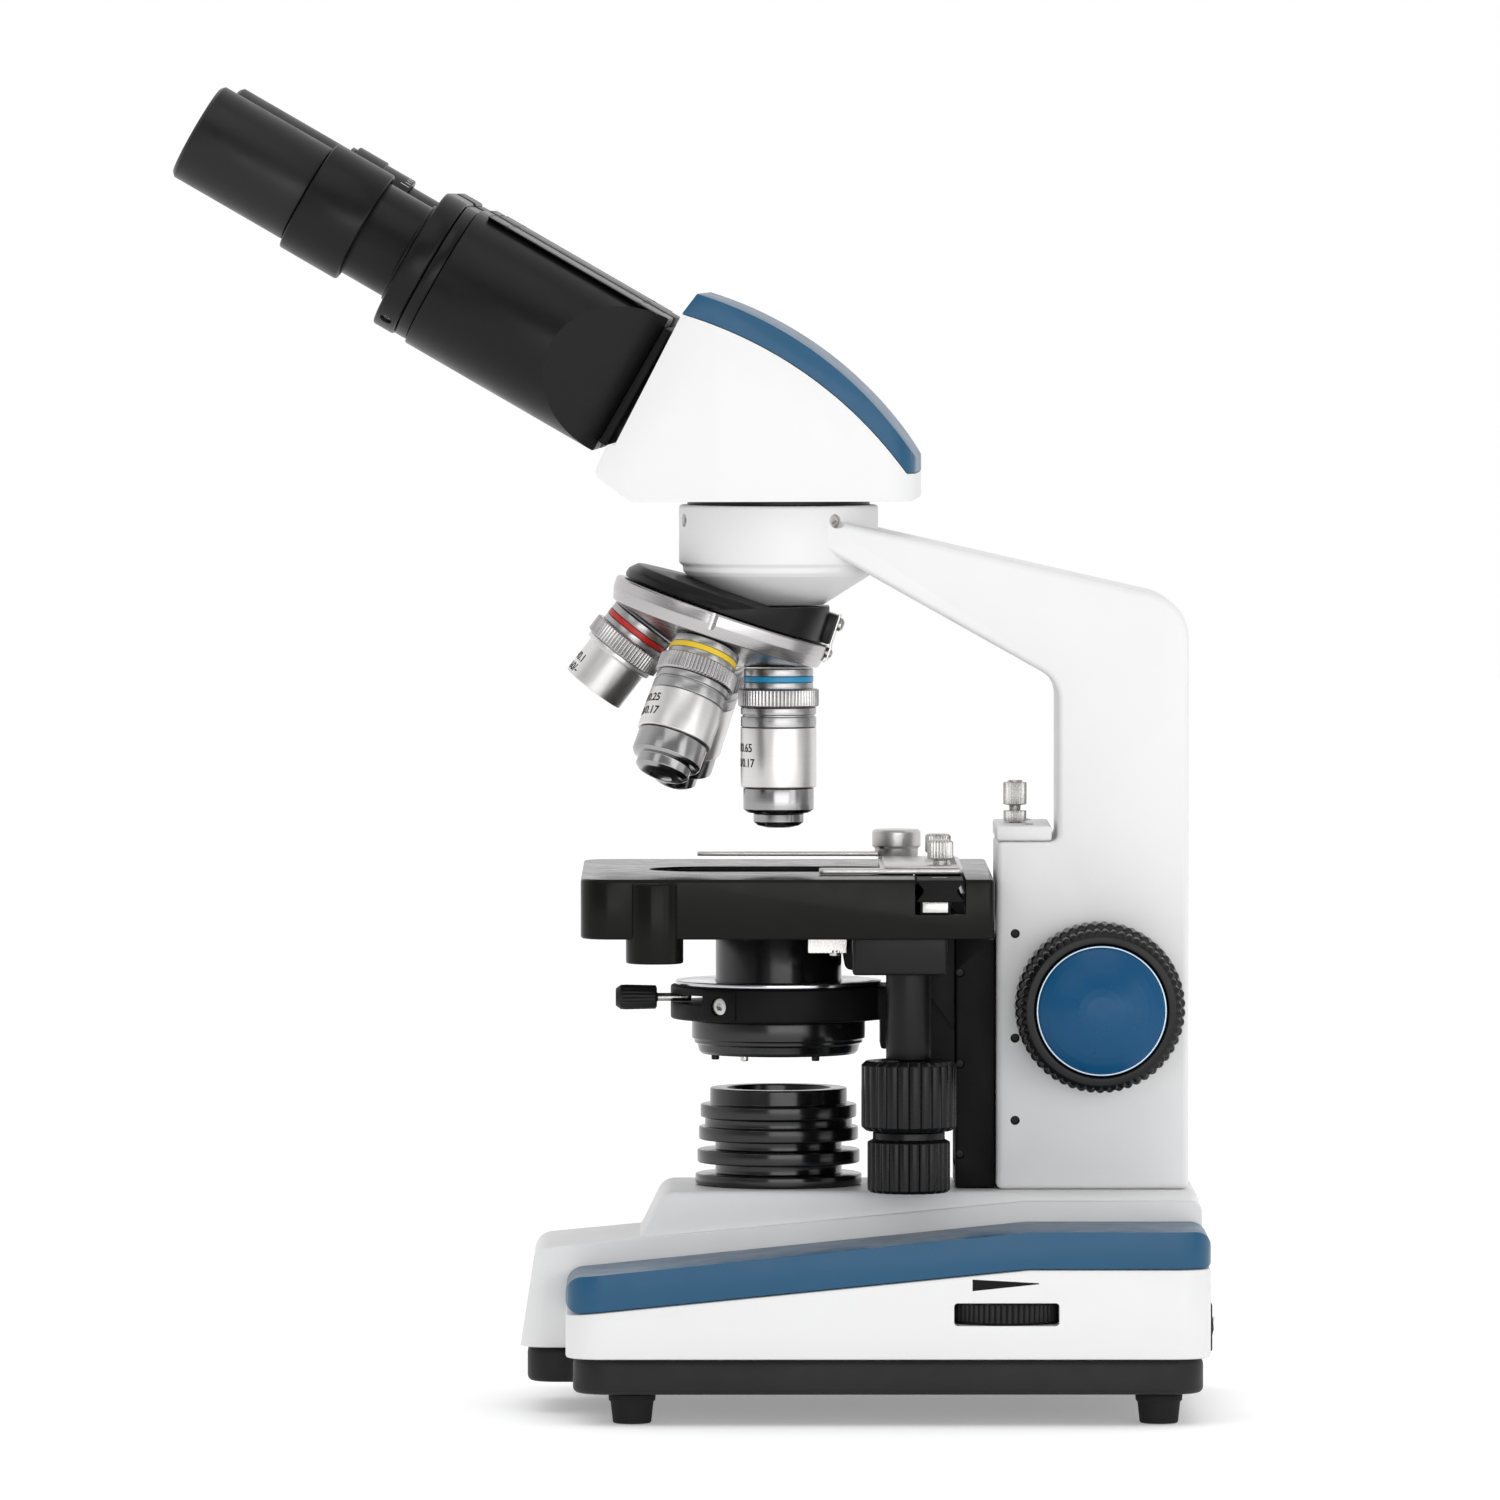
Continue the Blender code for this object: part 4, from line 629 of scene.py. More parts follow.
def wedge_outline():
    """The brightness mark over the dimmer: thick on the left, thin on the right."""
    middle = (low("dimmer_wheel").x + high("dimmer_wheel").x) / 2
    top = high("dimmer_wheel").z + 6.9
    return [(middle - 9.4, top), (middle + 8.8, top - 1.0), (middle + 8.8, top - 1.3),
            (middle - 9.4, top - 3.2)]


def make_base_trims():
    width = TRIM_HIGH.y - TRIM_LOW.y
    for side, sign in SIDES:
        lower, upper = pod_line(0.25), pod_line(TRIM_HEIGHT)
        corners = [(*lower[0], 3.5), (*lower[1], 0), (*lower[2], 0), (*lower[3], 1.5),
                   (*upper[3], 4.5), (*upper[2], 14), (*upper[1], 0), (*upper[0], 5.0)]
        bar = moved(prism_bm(flat_round(corners, 6), width, axis="Y"),
                    (0, sign * (HALF_WIDTH - width / 2), 0))
        bar = cleaned(common(bar, prism_bm(base_plan(0.0), 400)))
        round_edges(bar, 1.7, 4)
        piece("side_trim_" + side, bar, BLUE, "stand", nodes=["trim_" + side])


def make_base_bottom():
    under, over = low("base_plate").z, FLOOR - 0.2
    slab = moved(prism_bm(base_plan(2.0), over - under), (0, 0, (over + under) / 2))
    round_edges(slab, 1.6, 3)
    spots = [(x, y) for x in (-20, 20, 60, 90) for y in (-44, 44)]
    for x, y in spots:
        slab = without(slab, moved(rod_bm(3.6, under + 2, under - 2, 32), (x, y, 0)))
    piece("bottom_cover", slab, DARK_PLASTIC, "stand", nodes=["base_plate"])
    for x, y in spots:
        make_screw("cover_screw_%d_%d" % (x, y + 50), 2.8, at(STAND, x, y, under + 1.2, about("X", 180)),
                   "stand")
    for node in ("foot_front_right", "foot_front_left", "foot_rear_right", "foot_rear_left"):
        middle = middle_of(node)
        tall = high(node).z
        turned("rubber_" + node, [(0, tall), (6.5, tall), (6.4, tall - 2.0), (5.9, tall - 2.3), (5.25, 0),
                                  (2.6, 0), (2.4, 2.0), (0, 2.0)], RUBBER, "stand",
               at(STAND, middle.x, middle.y, 0), [node], 0.5, 48)


def make_screw(name, radius, place, body, material=None, socket=True):
    """A small cap screw with its head upwards in its own frame: the head's top lies at 0."""
    depth = radius * 0.9
    if socket:
        head = lathe_bm(soft_profile([(0, 0), (radius, 0), (radius, -depth), (0, -depth)], 0.2, False), 40,
                        False)
        hexagon = [(radius * 0.5 * cos(pi * i / 3), radius * 0.5 * sin(pi * i / 3)) for i in range(6)]
        head = without(head, prism_bm(hexagon, radius * 0.9))
    else:
        dome = [(0, 0), (radius * 0.6, -radius * 0.1), (radius, -radius * 0.45), (radius, -depth),
                (0, -depth)]
        head = lathe_bm(soft_profile(dome, 0.2, False), 40, False)
        for turn in (0, 90):
            bar = box_bm((-radius * 0.55, -radius * 0.12, -radius * 0.4), (radius * 0.55, radius * 0.12, 1))
            head = without(head, moved(bar, turn=about("Z", turn)))
    return piece(name, head, material or STEEL, body, place)


def make_side_screws(name, spots, across):
    for count, (x, z) in enumerate(spots):
        for side, sign in SIDES:
            place = at(STAND, x, sign * across, z, about("X", -90 * sign))
            make_screw("%s_%s_%d" % (name, side, count), 1.25, place, "stand", BLACK)


def make_dimmer():
    wheel_low, wheel_high = low("dimmer_wheel"), high("dimmer_wheel")
    middle = (wheel_low + wheel_high) / 2
    half = (wheel_high.z - wheel_low.z) / 2
    radius = middle.y - wheel_low.y
    profile = [(0, half), (radius, half), (radius, -half), (0, -half)]
    turned("dimmer_ribbed_wheel", profile, PLASTIC, "dimmer", at(STAND, *middle), ["dimmer_wheel"], 0.6, 480,
           ripple=teeth(60, 0.55, least=radius - 1.0))
    mark = moved(prism_bm(wedge_outline(), 0.12, axis="Y"), (0, -HALF_WIDTH + 0.09, 0))
    piece("brightness_mark", mark, INK, "stand")


SWITCH_TILT = 8.0


def make_switch():
    joint = joint_spot("switch_rock")
    tall = 4.3
    wide = 7.0
    out = 6.4
    profile = [(-7, -tall), (out - 1.6, -tall), (out - 0.2, -tall * 0.35), (out, tall * 0.1),
               (out - 0.6, tall * 0.75),
               (out - 1.4, tall), (-7, tall)]
    body = prism_bm(profile, 2 * wide - 0.4, 0.35, 2, "Y")
    mark = lathe_bm([(1.5, 0.1), (1.05, 0.1), (1.05, -0.5), (1.5, -0.5)], 32, True)
    place = at(STAND, *joint, turn=about("Y", SWITCH_TILT))
    piece("rocker", body, PLASTIC, "power_switch", place, ["rocker_switch"], baked=True)
    piece("rocker_off_mark", mark, PALE, "power_switch",
          place @ Matrix.Translation(((out - 0.35) * MM, 0, 1.9 * MM)) @ about("Y", 104), baked=True)
    bezel = prism_bm(rounded_box(-wide - 1.1, wide + 1.1, -tall - 2.2, tall + 2.2, 1.2), 1.2)
    bezel = without(bezel, prism_bm(rounded_box(-wide - 0.1, wide + 0.1, -tall - 1.2, tall + 1.2, 0.5), 5))
    round_edges(bezel, 0.25, 2)
    middle = middle_of("rocker_switch")
    piece("switch_bezel", bezel, PLASTIC, "stand",
          at(STAND, TRIM_HIGH.x + 0.35, middle.y, middle.z, about("Z", 90) @ about("X", 90)))


def make_jack():
    middle = middle_of("power_jack")
    place = at(STAND, TRIM_HIGH.x, middle.y, middle.z, about("Y", 90))
    radius = (high("power_jack").y - low("power_jack").y) / 2
    turned("inlet_barrel", [(radius + 1.4, 0.9), (radius + 1.4, 0.05), (radius - 0.1, 0.05),
                            (radius - 0.1, -12),
                            (0, -12), (0, -10), (2.9, -10), (2.9, 0.9)], PLASTIC, "stand", place,
           ["power_jack"], 0.25, 48, True)
    turned("inlet_pin", [(0, -2.2), (1.0, -2.2), (1.0, -10.5), (0, -10.5)], CHROME, "stand", place, (), 0.4,
           24)


def make_light():
    foot, top = low("collector_housing").z, high("collector_housing").z
    barrel = 19.05
    rings = ((top - 4.5, 21.7, 20.5), (top - 10.7, 22.2, 17.6), (top - 17.1, 22.6, 17.6))
    ring_height = 3.7
    core = barrel
    profile = [(14.5, top), (barrel, top)]
    for ring_top, radius, next_core in rings:
        profile += [(core, ring_top), (radius, ring_top), (radius, ring_top - ring_height),
                    (next_core, ring_top - ring_height)]
        core = next_core
    inner = LIGHT_BORE - 1.0
    profile += [(17.6, foot + 2.9), (23.15, foot + 2.9), (23.15, foot), (inner, foot), (inner, top - 8.2),
                (14.5, top - 5.0)]
    turned("light_collector", profile, GLOSS_BLACK, "stand", STAND, ["collector_housing"], 0.45, 96, True)
    seat = low("collector_lens").z
    crown = high("collector_lens").z
    turned("light_lens", [(0, crown), (4.5, crown - 0.35), (8, crown - 1.3), (10.8, crown - 3.0),
                          (12.2, crown - 4.1),
                          (12.2, seat), (0, seat)], LENS, "stand", STAND, ["collector_lens"], 0.2, 64)
    board = high("led_board").z - 3.0
    turned("led_plate", [(0, board), (12.6, board), (12.6, board - 1.6), (0, board - 1.6)], BOARD, "stand",
           STAND,
           ["led_board"], 0.2, 48)
    turned("led_dome", [(0, board + 2.9), (1.4, board + 2.5), (2.4, board + 1.4), (2.7, board + 0.2),
                        (2.7, board)],
           YELLOW, "stand", STAND, (), 0.2, 32)
    for step in range(8):
        angle = 2 * pi * step / 8
        pad = box_bm((-0.9, -0.6, 0), (0.9, 0.6, 0.5), 0.1, 2)
        piece("led_pad_%d" % step, pad, CHROME, "stand",
              at(STAND, 7.0 * cos(angle), 7.0 * sin(angle), board, Matrix.Rotation(angle, 4, "Z")))


# --- Column and arm ---

COLUMN_FRONT = 60.1
COLUMN_BACK = high("arm").x
COLUMN_HALF = 24.0
STEP_BACK = 77.0
STEP_TOP = 162.2
STEP_PLATE = 4.1
ARM_SLOPE = 0.2286
THROAT_SLOPE = 0.561
COLLAR_RADIUS = 27.65


def make_arm():
    start = 10.0
    upper = COLLAR_TOP - 0.4
    lower = COLLAR_TOP - 5.0
    foot = PLINTH_TOP + 0.1
    shelf = STEP_TOP - STEP_PLATE - 0.15
    corners = [(start, upper - ARM_SLOPE * start, 0), (COLUMN_BACK, upper - ARM_SLOPE * COLUMN_BACK, 13.0),
               (COLUMN_BACK, foot, 0), (COLUMN_FRONT, foot, 0), (COLUMN_FRONT, shelf, 0),
               (STEP_BACK, shelf, 0), (STEP_BACK, lower - THROAT_SLOPE * STEP_BACK, 9.0),
               (start, lower - THROAT_SLOPE * start, 0)]
    arm = prism_bm(flat_round(corners, 8), 2 * COLUMN_HALF, axis="Y")
    round_edges(arm, 1.8, 4)
    mouth = COLLAR_TOP - 27.8
    outside = [(0, COLLAR_TOP), (COLLAR_RADIUS, COLLAR_TOP), (COLLAR_RADIUS, COLLAR_TOP - 16.1),
               (COLLAR_RADIUS - 1.1, COLLAR_TOP - 17.0), (COLLAR_RADIUS - 1.1, COLLAR_TOP - 18.4),
               (25.4, COLLAR_TOP - 19.6), (15.3, COLLAR_TOP - 26.0), (12.4, mouth), (0, mouth)]
    collar = lathe_bm(soft_profile(outside, 0.9, False), 128, False)
    arm = added(arm, collar)
    arm = without(arm, rod_bm(10, COLLAR_TOP + 5, mouth - 9, 64))
    reach = COLUMN_HALF + 5
    shaft = joint_spot("coarse_turn")
    arm = without(arm, moved(rod_bm(5.4, reach, -reach, 48), shaft,
                             about("X", 90)))
    for x, z in column_holes():
        hole = rod_bm(1.3, reach, -reach, 24)
        arm = without(arm, moved(hole, (x, 0, z), about("X", 90)))
    hole = rod_bm(1.9, STEP_TOP, STEP_TOP - 13, 32)
    arm = without(arm, moved(hole, (stop_x(), 0, 0)))
    for angle in collar_screw_angles():
        hole = rod_bm(1.95, 8, -4, 32)
        direction = heading(angle)
        arm = without(arm, moved(hole, direction * COLLAR_RADIUS + Vector((0, 0, COLLAR_TOP - 4.2)),
                                 facing(direction)))
    piece("arm_casting", arm, WHITE, "stand", nodes=["arm"])
    for count, angle in enumerate(collar_screw_angles()):
        direction = heading(angle)
        turn = facing(direction)
        make_screw("collar_set_screw_%d" % count, 1.85,
                   at(STAND, *(direction * (COLLAR_RADIUS - 0.7)),
                      turn=Matrix.Translation((0, 0, (COLLAR_TOP - 4.2) * MM)) @ turn),
                   "stand")
    step = box_bm((COLUMN_FRONT - 0.1, -COLUMN_HALF + 0.3, STEP_TOP - STEP_PLATE),
                  (STEP_BACK - 1.6, COLUMN_HALF - 0.3, STEP_TOP), 0.7, 3)
    step = without(step, moved(rod_bm(1.9, 9, -9, 32), (stop_x(), 0, STEP_TOP)))
    piece("step_plate", step, WHITE, "stand")
    for y in (-15, 15):
        make_screw("step_plate_screw_%d" % (y + 20), 2.2, at(STAND, 69.0, y, STEP_TOP + 0.6), "stand",
                   socket=False)
    make_side_screws("column_screw", column_holes(), COLUMN_HALF - 2.2)


def stop_x():
    return (low("stop_screw").x + high("stop_screw").x) / 2


def column_holes():
    return ((65.3, 132.4), (65.3, 103.5), (65.3, 80.7))


def collar_screw_angles():
    """Two set screws on the right and one on the left hold the head."""
    return (radians(-162), radians(-56), radians(90))


def make_guide():
    guide_low, guide_high = low("stage_guide"), high("stage_guide")
    guide = box_bm(guide_low, guide_high, 0.6, 2)
    middle = (guide_low + guide_high) / 2
    reach = 30.0
    holes = [(middle.x - 4.2, z) for z in (121.4, 96.1, 71.1)]
    for x, z in holes:
        guide = without(guide, moved(rod_bm(1.3, reach, -reach, 24),
                                     (x, 0, z), about("X", 90)))
    for y in (-11.0, 11.0):
        groove = box_bm((guide_low.x - 1, y - 1.5, guide_low.z - 1),
                        (guide_low.x + 1.6, y + 1.5, guide_high.z + 1))
        guide = without(guide, groove)
    piece("dovetail_guide", guide, STAGE_BLACK, "stand", nodes=["stage_guide"])
    make_side_screws("guide_screw", holes, middle.y + 18.6)


def make_stop():
    foot, top = low("stop_screw").z, high("stop_screw").z
    place = at(STAND, stop_x(), 0, 0)
    grip = [(0, top), (2.0, top), (2.2, top - 0.5), (3.25, top - 0.6), (3.25, top - 6.7), (1.55, top - 7.1),
            (1.55, foot), (0, foot)]
    turned("stop_thumb_screw", grip, STEEL, "stop", place, ["stop_screw"], 0.2, 288,
           ripple=teeth(36, 0.22, least=3.1))
    nut_top = top - 8.4
    turned("stop_lock_nut", [(1.6, nut_top), (3.2, nut_top), (3.2, nut_top - 3.1), (1.6, nut_top - 3.1)],
           STEEL,
           "stop", place, (), 0.25, 288, True, teeth(36, 0.2, least=3.1))
    for turn_count in range(3):
        height = top - 7.35 - turn_count * 0.35
        turned("stop_thread_%d" % turn_count, [(1.5, height + 0.12), (1.8, height), (1.5, height - 0.12)],
               STEEL,
               "stop", place, (), 0, 32, True)


# --- Nosepiece and objectives ---

DISC_RADIUS = 31.0
DISC_RIM = 3.4
DISC_FLARE_RADIUS = 29.6        # where the rim's cone meets the objectives' seats
HUB_RADIUS = 9.8
CAP_RADIUS = 29.3
CAP_BACK_X = 14.2               # the fixed cap's wedge under the collar ends here


def in_nose(bm):
    """Takes a bmesh in millimetres from the stand's frame to the nosepiece's."""
    bmesh.ops.scale(bm, vec=(MM, MM, MM), verts=bm.verts)
    bmesh.ops.transform(bm, matrix=NOSE.inverted() @ STAND, verts=bm.verts)
    bmesh.ops.scale(bm, vec=(1 / MM, 1 / MM, 1 / MM), verts=bm.verts)
    return bm


def make_nosepiece():
    down = -DISC_FROM_APEX
    dome = [(0, 6.4), (17, 5.8), (26.6, 4.8), (28.6, 2.8), (CAP_RADIUS - 0.1, 0.35), (0, 0.35)]
    cap = lathe_bm(soft_profile([(r, down + h) for r, h in dome], 1.2, False), 128, False)
    wedge = rod_bm(CAP_RADIUS - 0.1, down + 60, down + 0.35, 128)
    room = in_nose(box_bm((-60, -60, STAGE_TOP), (CAP_BACK_X - 0.1, 60, COLLAR_TOP - 28.2)))
    wedge = cleaned(common(wedge, room))
    round_edges(wedge, 1.0, 3)
    cap = added(cap, wedge)
    collar = [(0, COLLAR_TOP + 5), (28.0, COLLAR_TOP + 5), (28.0, COLLAR_TOP - 16.4),
              (26.8, COLLAR_TOP - 19.0),
              (25.2, COLLAR_TOP - 19.9), (15.3, COLLAR_TOP - 26.3), (12.4, COLLAR_TOP - 28.1),
              (0, COLLAR_TOP - 28.1)]
    cap = without(cap, in_nose(lathe_bm(collar, 96, False)))
    piece("nosepiece_dome", cap, BLACK, "stand", NOSE, ["nosepiece_cap"])
    slope = tan(NOSE_TILT)
    seat_radius = SHOULDER * sin(NOSE_TILT)
    seat = down + DISC_FROM_APEX - SHOULDER * cos(NOSE_TILT)
    flare = seat + (DISC_FLARE_RADIUS - seat_radius) * slope
    hub = seat - (seat_radius - HUB_RADIUS) * slope
    disc = [(0, down - 0.05), (DISC_RADIUS - 0.5, down - 0.05), (DISC_RADIUS, down - 0.5),
            (DISC_RADIUS, down - DISC_RIM), (DISC_FLARE_RADIUS + 0.4, flare + 0.1),
            (DISC_FLARE_RADIUS, flare),
            (HUB_RADIUS, hub), (HUB_RADIUS - 1.8, hub - 1.5), (0, hub - 1.5)]
    body = lathe_bm(soft_profile(disc, 0.5, False), 128, False)
    for azimuth in (0, 90, 180, 270):
        tool = rod_bm(1.5, 3.0, -3.0, 32)
        spot = Matrix.Rotation(radians(azimuth), 3, "Z") @ Vector((DISC_RADIUS + 0.9, 0, down - 1.9))
        body = without(body, moved(tool, spot))
    piece("turret_plate", body, SATIN, "turret", NOSE, ["turret_disc"])
    screw = hub - 1.5
    turned("turret_hub_screw", [(0, screw + 0.1), (5.0, screw + 0.1), (5.0, screw - 0.9), (3.6, screw - 1.5),
                                (0, screw - 1.5)], CHROME, "turret", NOSE, (), 0.3, 48)
    make_click_stop(down)


def make_click_stop(down):
    """The leaf spring at the back of the nosepiece, held by a screw above and bent in at its ball."""
    radius = DISC_RADIUS
    block = box_bm((radius - 4.5, -4.5, down + 0.5), (radius + 0.1, 4.5, down + 9.0), 0.5, 2)
    piece("click_block", block, BLACK, "stand", NOSE)
    inner = [(radius + 0.15, down + 9.4), (radius + 0.2, down + 0.6), (radius + 0.5, down - 0.4),
             (radius + 0.5, down - 3.9), (radius - 0.2, down - 4.6)]
    leaf = prism_bm(inner + [(x + 0.55, z) for x, z in inner[::-1]], 5.0, 0.12, 1, "Y")
    piece("click_spring", leaf, STEEL, "stand", NOSE)
    make_screw("click_screw", 1.9, at(NOSE, radius + 2.3, 0, down + 6.6, about("Y", 90)), "stand",
               socket=False)
    ball = lathe_bm([(1.5 * sin(pi * i / 16), -1.5 * cos(pi * i / 16)) for i in range(17)], 32, False)
    piece("click_ball", ball, STEEL, "stand", at(NOSE, radius + 0.3, 0, down - 1.9))


def objective_body(length, nose_length):
    """Outer side of an objective's barrel, as (radius, distance down from its shoulder)."""
    taper = length - nose_length
    return [(0, 16.3), (10.3, 16.3), (10.55, 16.4), (10.55, taper - 7.2), (10.1, taper - 7.0),
            (0, taper - 7.0)]


def objective_nose(length, nose_radius, nose_length):
    """The sprung nose below the barrel, with its bevelled front."""
    taper = length - nose_length
    return [(0, taper - 7.0), (9.85, taper - 6.8), (9.85, taper - 0.9), (nose_radius + 1.6, taper),
            (nose_radius, taper + 0.3), (nose_radius, length - 1.6), (nose_radius - 1.2, length - 0.6),
            (3.4, length), (2.9, length - 0.7), (0, length - 0.5)]


MARKING_AZIMUTH = -157          # the markings face the user, a little to the right
MARKING_SIZE = 3.3
MARKING_LIFT = 0.01
SEAT_GAP = 0.3                  # an objective's shoulder stands off its seat by this much
BARREL_FROM = 12.2              # the barrel starts this far below the shoulder


def make_objective(label, azimuth, colour, body, nose, lines):
    node = "objective_" + label
    place = NOSE @ about("Z", azimuth) @ Matrix.Rotation(-NOSE_TILT, 4, "Y")
    top = -SHOULDER - SEAT_GAP

    def ring_piece(name, points, material, radius=0.15, steps=96, ripple=None, nodes=()):
        profile = [(r, top - s) for r, s in points]
        turned(name, profile, material, "turret", place, nodes, radius, steps, False, ripple)

    ring_piece(node + "_neck", [(0, 0), (9.65, 0), (9.65, 1.9), (9.3, 2.0), (9.3, 3.7), (9.65, 3.8),
                                (9.65, 5.5),
                                (0, 5.5)], OBJECTIVE_RINGS, 0.12)
    ring_piece(node + "_colour_ring", [(9.2, 2.02), (9.7, 2.1), (9.7, 3.6), (9.2, 3.68)], colour, 0.1)
    ring_piece(node + "_knurl", [(0, 5.5), (10.6, 5.5), (11.25, 5.9), (11.25, 10.2), (10.6, 10.6),
                                 (0, 10.6)],
               SATIN, 0.12, 64 * 6, teeth(64, 0.35, least=11.0))
    ring_piece(node + "_body", body, OBJECTIVE_SATIN, 0.25, 96, None, [node])
    if nose:
        ring_piece(node + "_step_rings", [(0, 10.6), (10.2, 10.7), (10.5, 10.9), (10.5, 12.6), (10.0, 12.8),
                                          (10.0, 13.2), (10.5, 13.4), (10.5, 16.0), (10.2, 16.2), (0, 16.3)],
                   OBJECTIVE_RINGS, 0.12)
        ring_piece(node + "_nose", nose, DARK_CHROME, 0.3)
        front = nose[-1][1]
        ring_piece(node + "_front_lens", [(0, front - 0.3), (2.5, front - 0.3), (2.2, front - 0.05),
                                          (1.2, front + 0.15), (0, front + 0.2)], LENS, 0.05, 40)
    barrel = max(radius for radius, s in body if s > BARREL_FROM)
    for count, (text, down) in enumerate(lines):
        letters = wrapped_text(text, MARKING_SIZE, barrel + MARKING_LIFT, MARKING_AZIMUTH)
        piece("%s_marking_%d" % (node, count), letters, INK, "turret",
              place @ Matrix.Translation((0, 0, (top - down) * MM)) @ about("Z", -azimuth))


def wrapped_text(text, size, radius, azimuth):
    """Letters lying on a cylinder round Z, centred on an azimuth in degrees."""
    curve = bpy.data.curves.new("text", "FONT")
    curve.body = text
    curve.size = size
    curve.align_x = "CENTER"
    curve.align_y = "CENTER"
    curve.resolution_u = 3
    curve.extrude = 0.03
    curve.offset = 0.05
    holder = bpy.data.objects.new("text", curve)
    bpy.context.scene.collection.objects.link(holder)
    depsgraph = bpy.context.evaluated_depsgraph_get()
    mesh = bpy.data.meshes.new_from_object(holder.evaluated_get(depsgraph))
    bpy.data.objects.remove(holder, do_unlink=True)
    bm = bmesh.new()
    bm.from_mesh(mesh)
    bpy.data.meshes.remove(mesh)
    for vert in bm.verts:
        angle = vert.co.x / radius + radians(azimuth)
        r = radius + vert.co.z
        vert.co = Vector((r * cos(angle), r * sin(angle), vert.co.y))
    return bm


def make_objectives():
    scan = [(0, 10.6), (10.2, 10.7), (10.2, 11.9), (9.5, 12.1), (9.05, 12.4), (9.05, 23.2), (7.3, 23.5),
            (7.0, 22.9),
            (6.4, 19.5), (0, 18.5)]
    make_objective("4x", 180, RED, scan, (), (("4/0.1", 18.0), ("160/-", 21.4)))
    make_objective("10x", -90, YELLOW, objective_body(39.2, 4.4),
                   objective_nose(39.2, 7.6, 4.4), (("10/0.25", 19.9), ("160/0.17", 23.8)))
    make_objective("40x", 0, CYAN, objective_body(44.2, 4.2),
                   objective_nose(44.2, 7.0, 4.2), (("40/0.65", 22.0), ("160/0.17", 26.2)))
    make_objective("100x", 90, PALE, objective_body(44.2, 5.5),
                   objective_nose(44.2, 6.6, 5.5), (("100/1.25", 22.0), ("160/0.17", 26.2)))


# --- Head ---

FACE_X = -36.6
FACE_HEIGHT = 33.0
FACE_TOP = 23.2
HEAD_BACK_X = 38.9
HEAD_FRONT_HALF = 36.0
HEAD_BACK_HALF = 27.0


def on_face(up):
    """A point of the head's front face, a distance up along it from the eye tubes' axis."""
    return (FACE_X + up * 0.5, COLLAR_TOP + FACE_HEIGHT + up * sin(radians(60)))


def arc_through(a, b, c, steps):
    (ax, ay), (bx, by), (cx, cy) = a, b, c
    d = 2 * (ax * (by - cy) + bx * (cy - ay) + cx * (ay - by))
    aa, bb, cc = ax * ax + ay * ay, bx * bx + by * by, cx * cx + cy * cy
    ox = (aa * (by - cy) + bb * (cy - ay) + cc * (ay - by)) / d
    oy = (aa * (cx - bx) + bb * (ax - cx) + cc * (bx - ax)) / d
    first = atan2(ay - oy, ax - ox)
    sweep = (atan2(cy - oy, cx - ox) - first + pi) % (2 * pi) - pi
    radius = hypot(ax - ox, ay - oy)
    turns = [first + sweep * i / steps for i in range(steps + 1)]
    return [(ox + radius * cos(t), oy + radius * sin(t)) for t in turns]


def head_plan():
    corners = [(-60.0, -HEAD_FRONT_HALF, 0), (-15.0, -HEAD_FRONT_HALF, 20),
               (HEAD_BACK_X, -HEAD_BACK_HALF, 9),
               (HEAD_BACK_X, HEAD_BACK_HALF, 9), (-15.0, HEAD_FRONT_HALF, 20), (-60.0, HEAD_FRONT_HALF, 0)]
    return flat_round(corners, 8)


def make_head():
    bottom = COLLAR_TOP + 1.4
    face_top = on_face(FACE_TOP)
    crown = on_face(FACE_TOP + 6.5)
    under = arc_through(face_top, (5.2, COLLAR_TOP + 39.2), (36.6, COLLAR_TOP + 9.0), 24)
    over = arc_through((crown[0] + 1.0, crown[1]), (5.2, COLLAR_TOP + 46.9),
                       (HEAD_BACK_X, COLLAR_TOP + 13.6), 24)
    corners = [(*on_face(-18.0), 3.0), (-49.3, bottom + 7.6, 2.5), (-39.2, bottom, 2.5),
               (HEAD_BACK_X, bottom, 1.5),
               (HEAD_BACK_X, COLLAR_TOP + 9.0, 0)]
    outline = flat_round(corners, 4) + [Vector(p) for p in under[::-1]]
    shell = prism_bm(outline, 2 * HEAD_FRONT_HALF, axis="Y")
    shell = cleaned(common(shell, prism_bm(head_plan(), 900)))
    round_edges(shell, 1.6, 4)
    shell = without(shell, rod_bm(10, bottom + 14, bottom - 9, 64))
    piece("head_shell", shell, WHITE, "head", HEAD, ["head_housing"])
    seam = [(x + 0.1, z + 0.2) for x, z in under]
    outline = [Vector(p) for p in over + [(HEAD_BACK_X, COLLAR_TOP + 9.25)] + seam[::-1]]
    lid = prism_bm(outline, 2 * HEAD_FRONT_HALF, axis="Y")
    lid = cleaned(common(lid, prism_bm(head_plan(), 900)))
    round_edges(lid, 1.5, 4, 42)
    piece("head_lid", lid, BLUE, "head", HEAD, ["head_cap"])
    turned("head_seat_ring", [(25.35, bottom - 0.1), (25.35, COLLAR_TOP + 0.1), (10, COLLAR_TOP + 0.1),
                              (10, bottom - 0.1)], BLACK, "head", HEAD, ["head_flange"], 0.15, 96, True)
    slide = box_bm((-18.9, -33, 0.15), (17.6, 33, 2.45), 0.4, 2)
    piece("eye_slide_plate", slide, STAGE_BLACK, "head", EYES, ["slide_plate"])


BOX_TOP = 20.1
BOX_BOTTOM = -21.9
BOX_INNER = 26.8
BOX_START = 2.6
BOX_END = 62.6
PLATE_END = 73.1
FACET_FROM = 24.0               # the rounded side is cut away towards the head


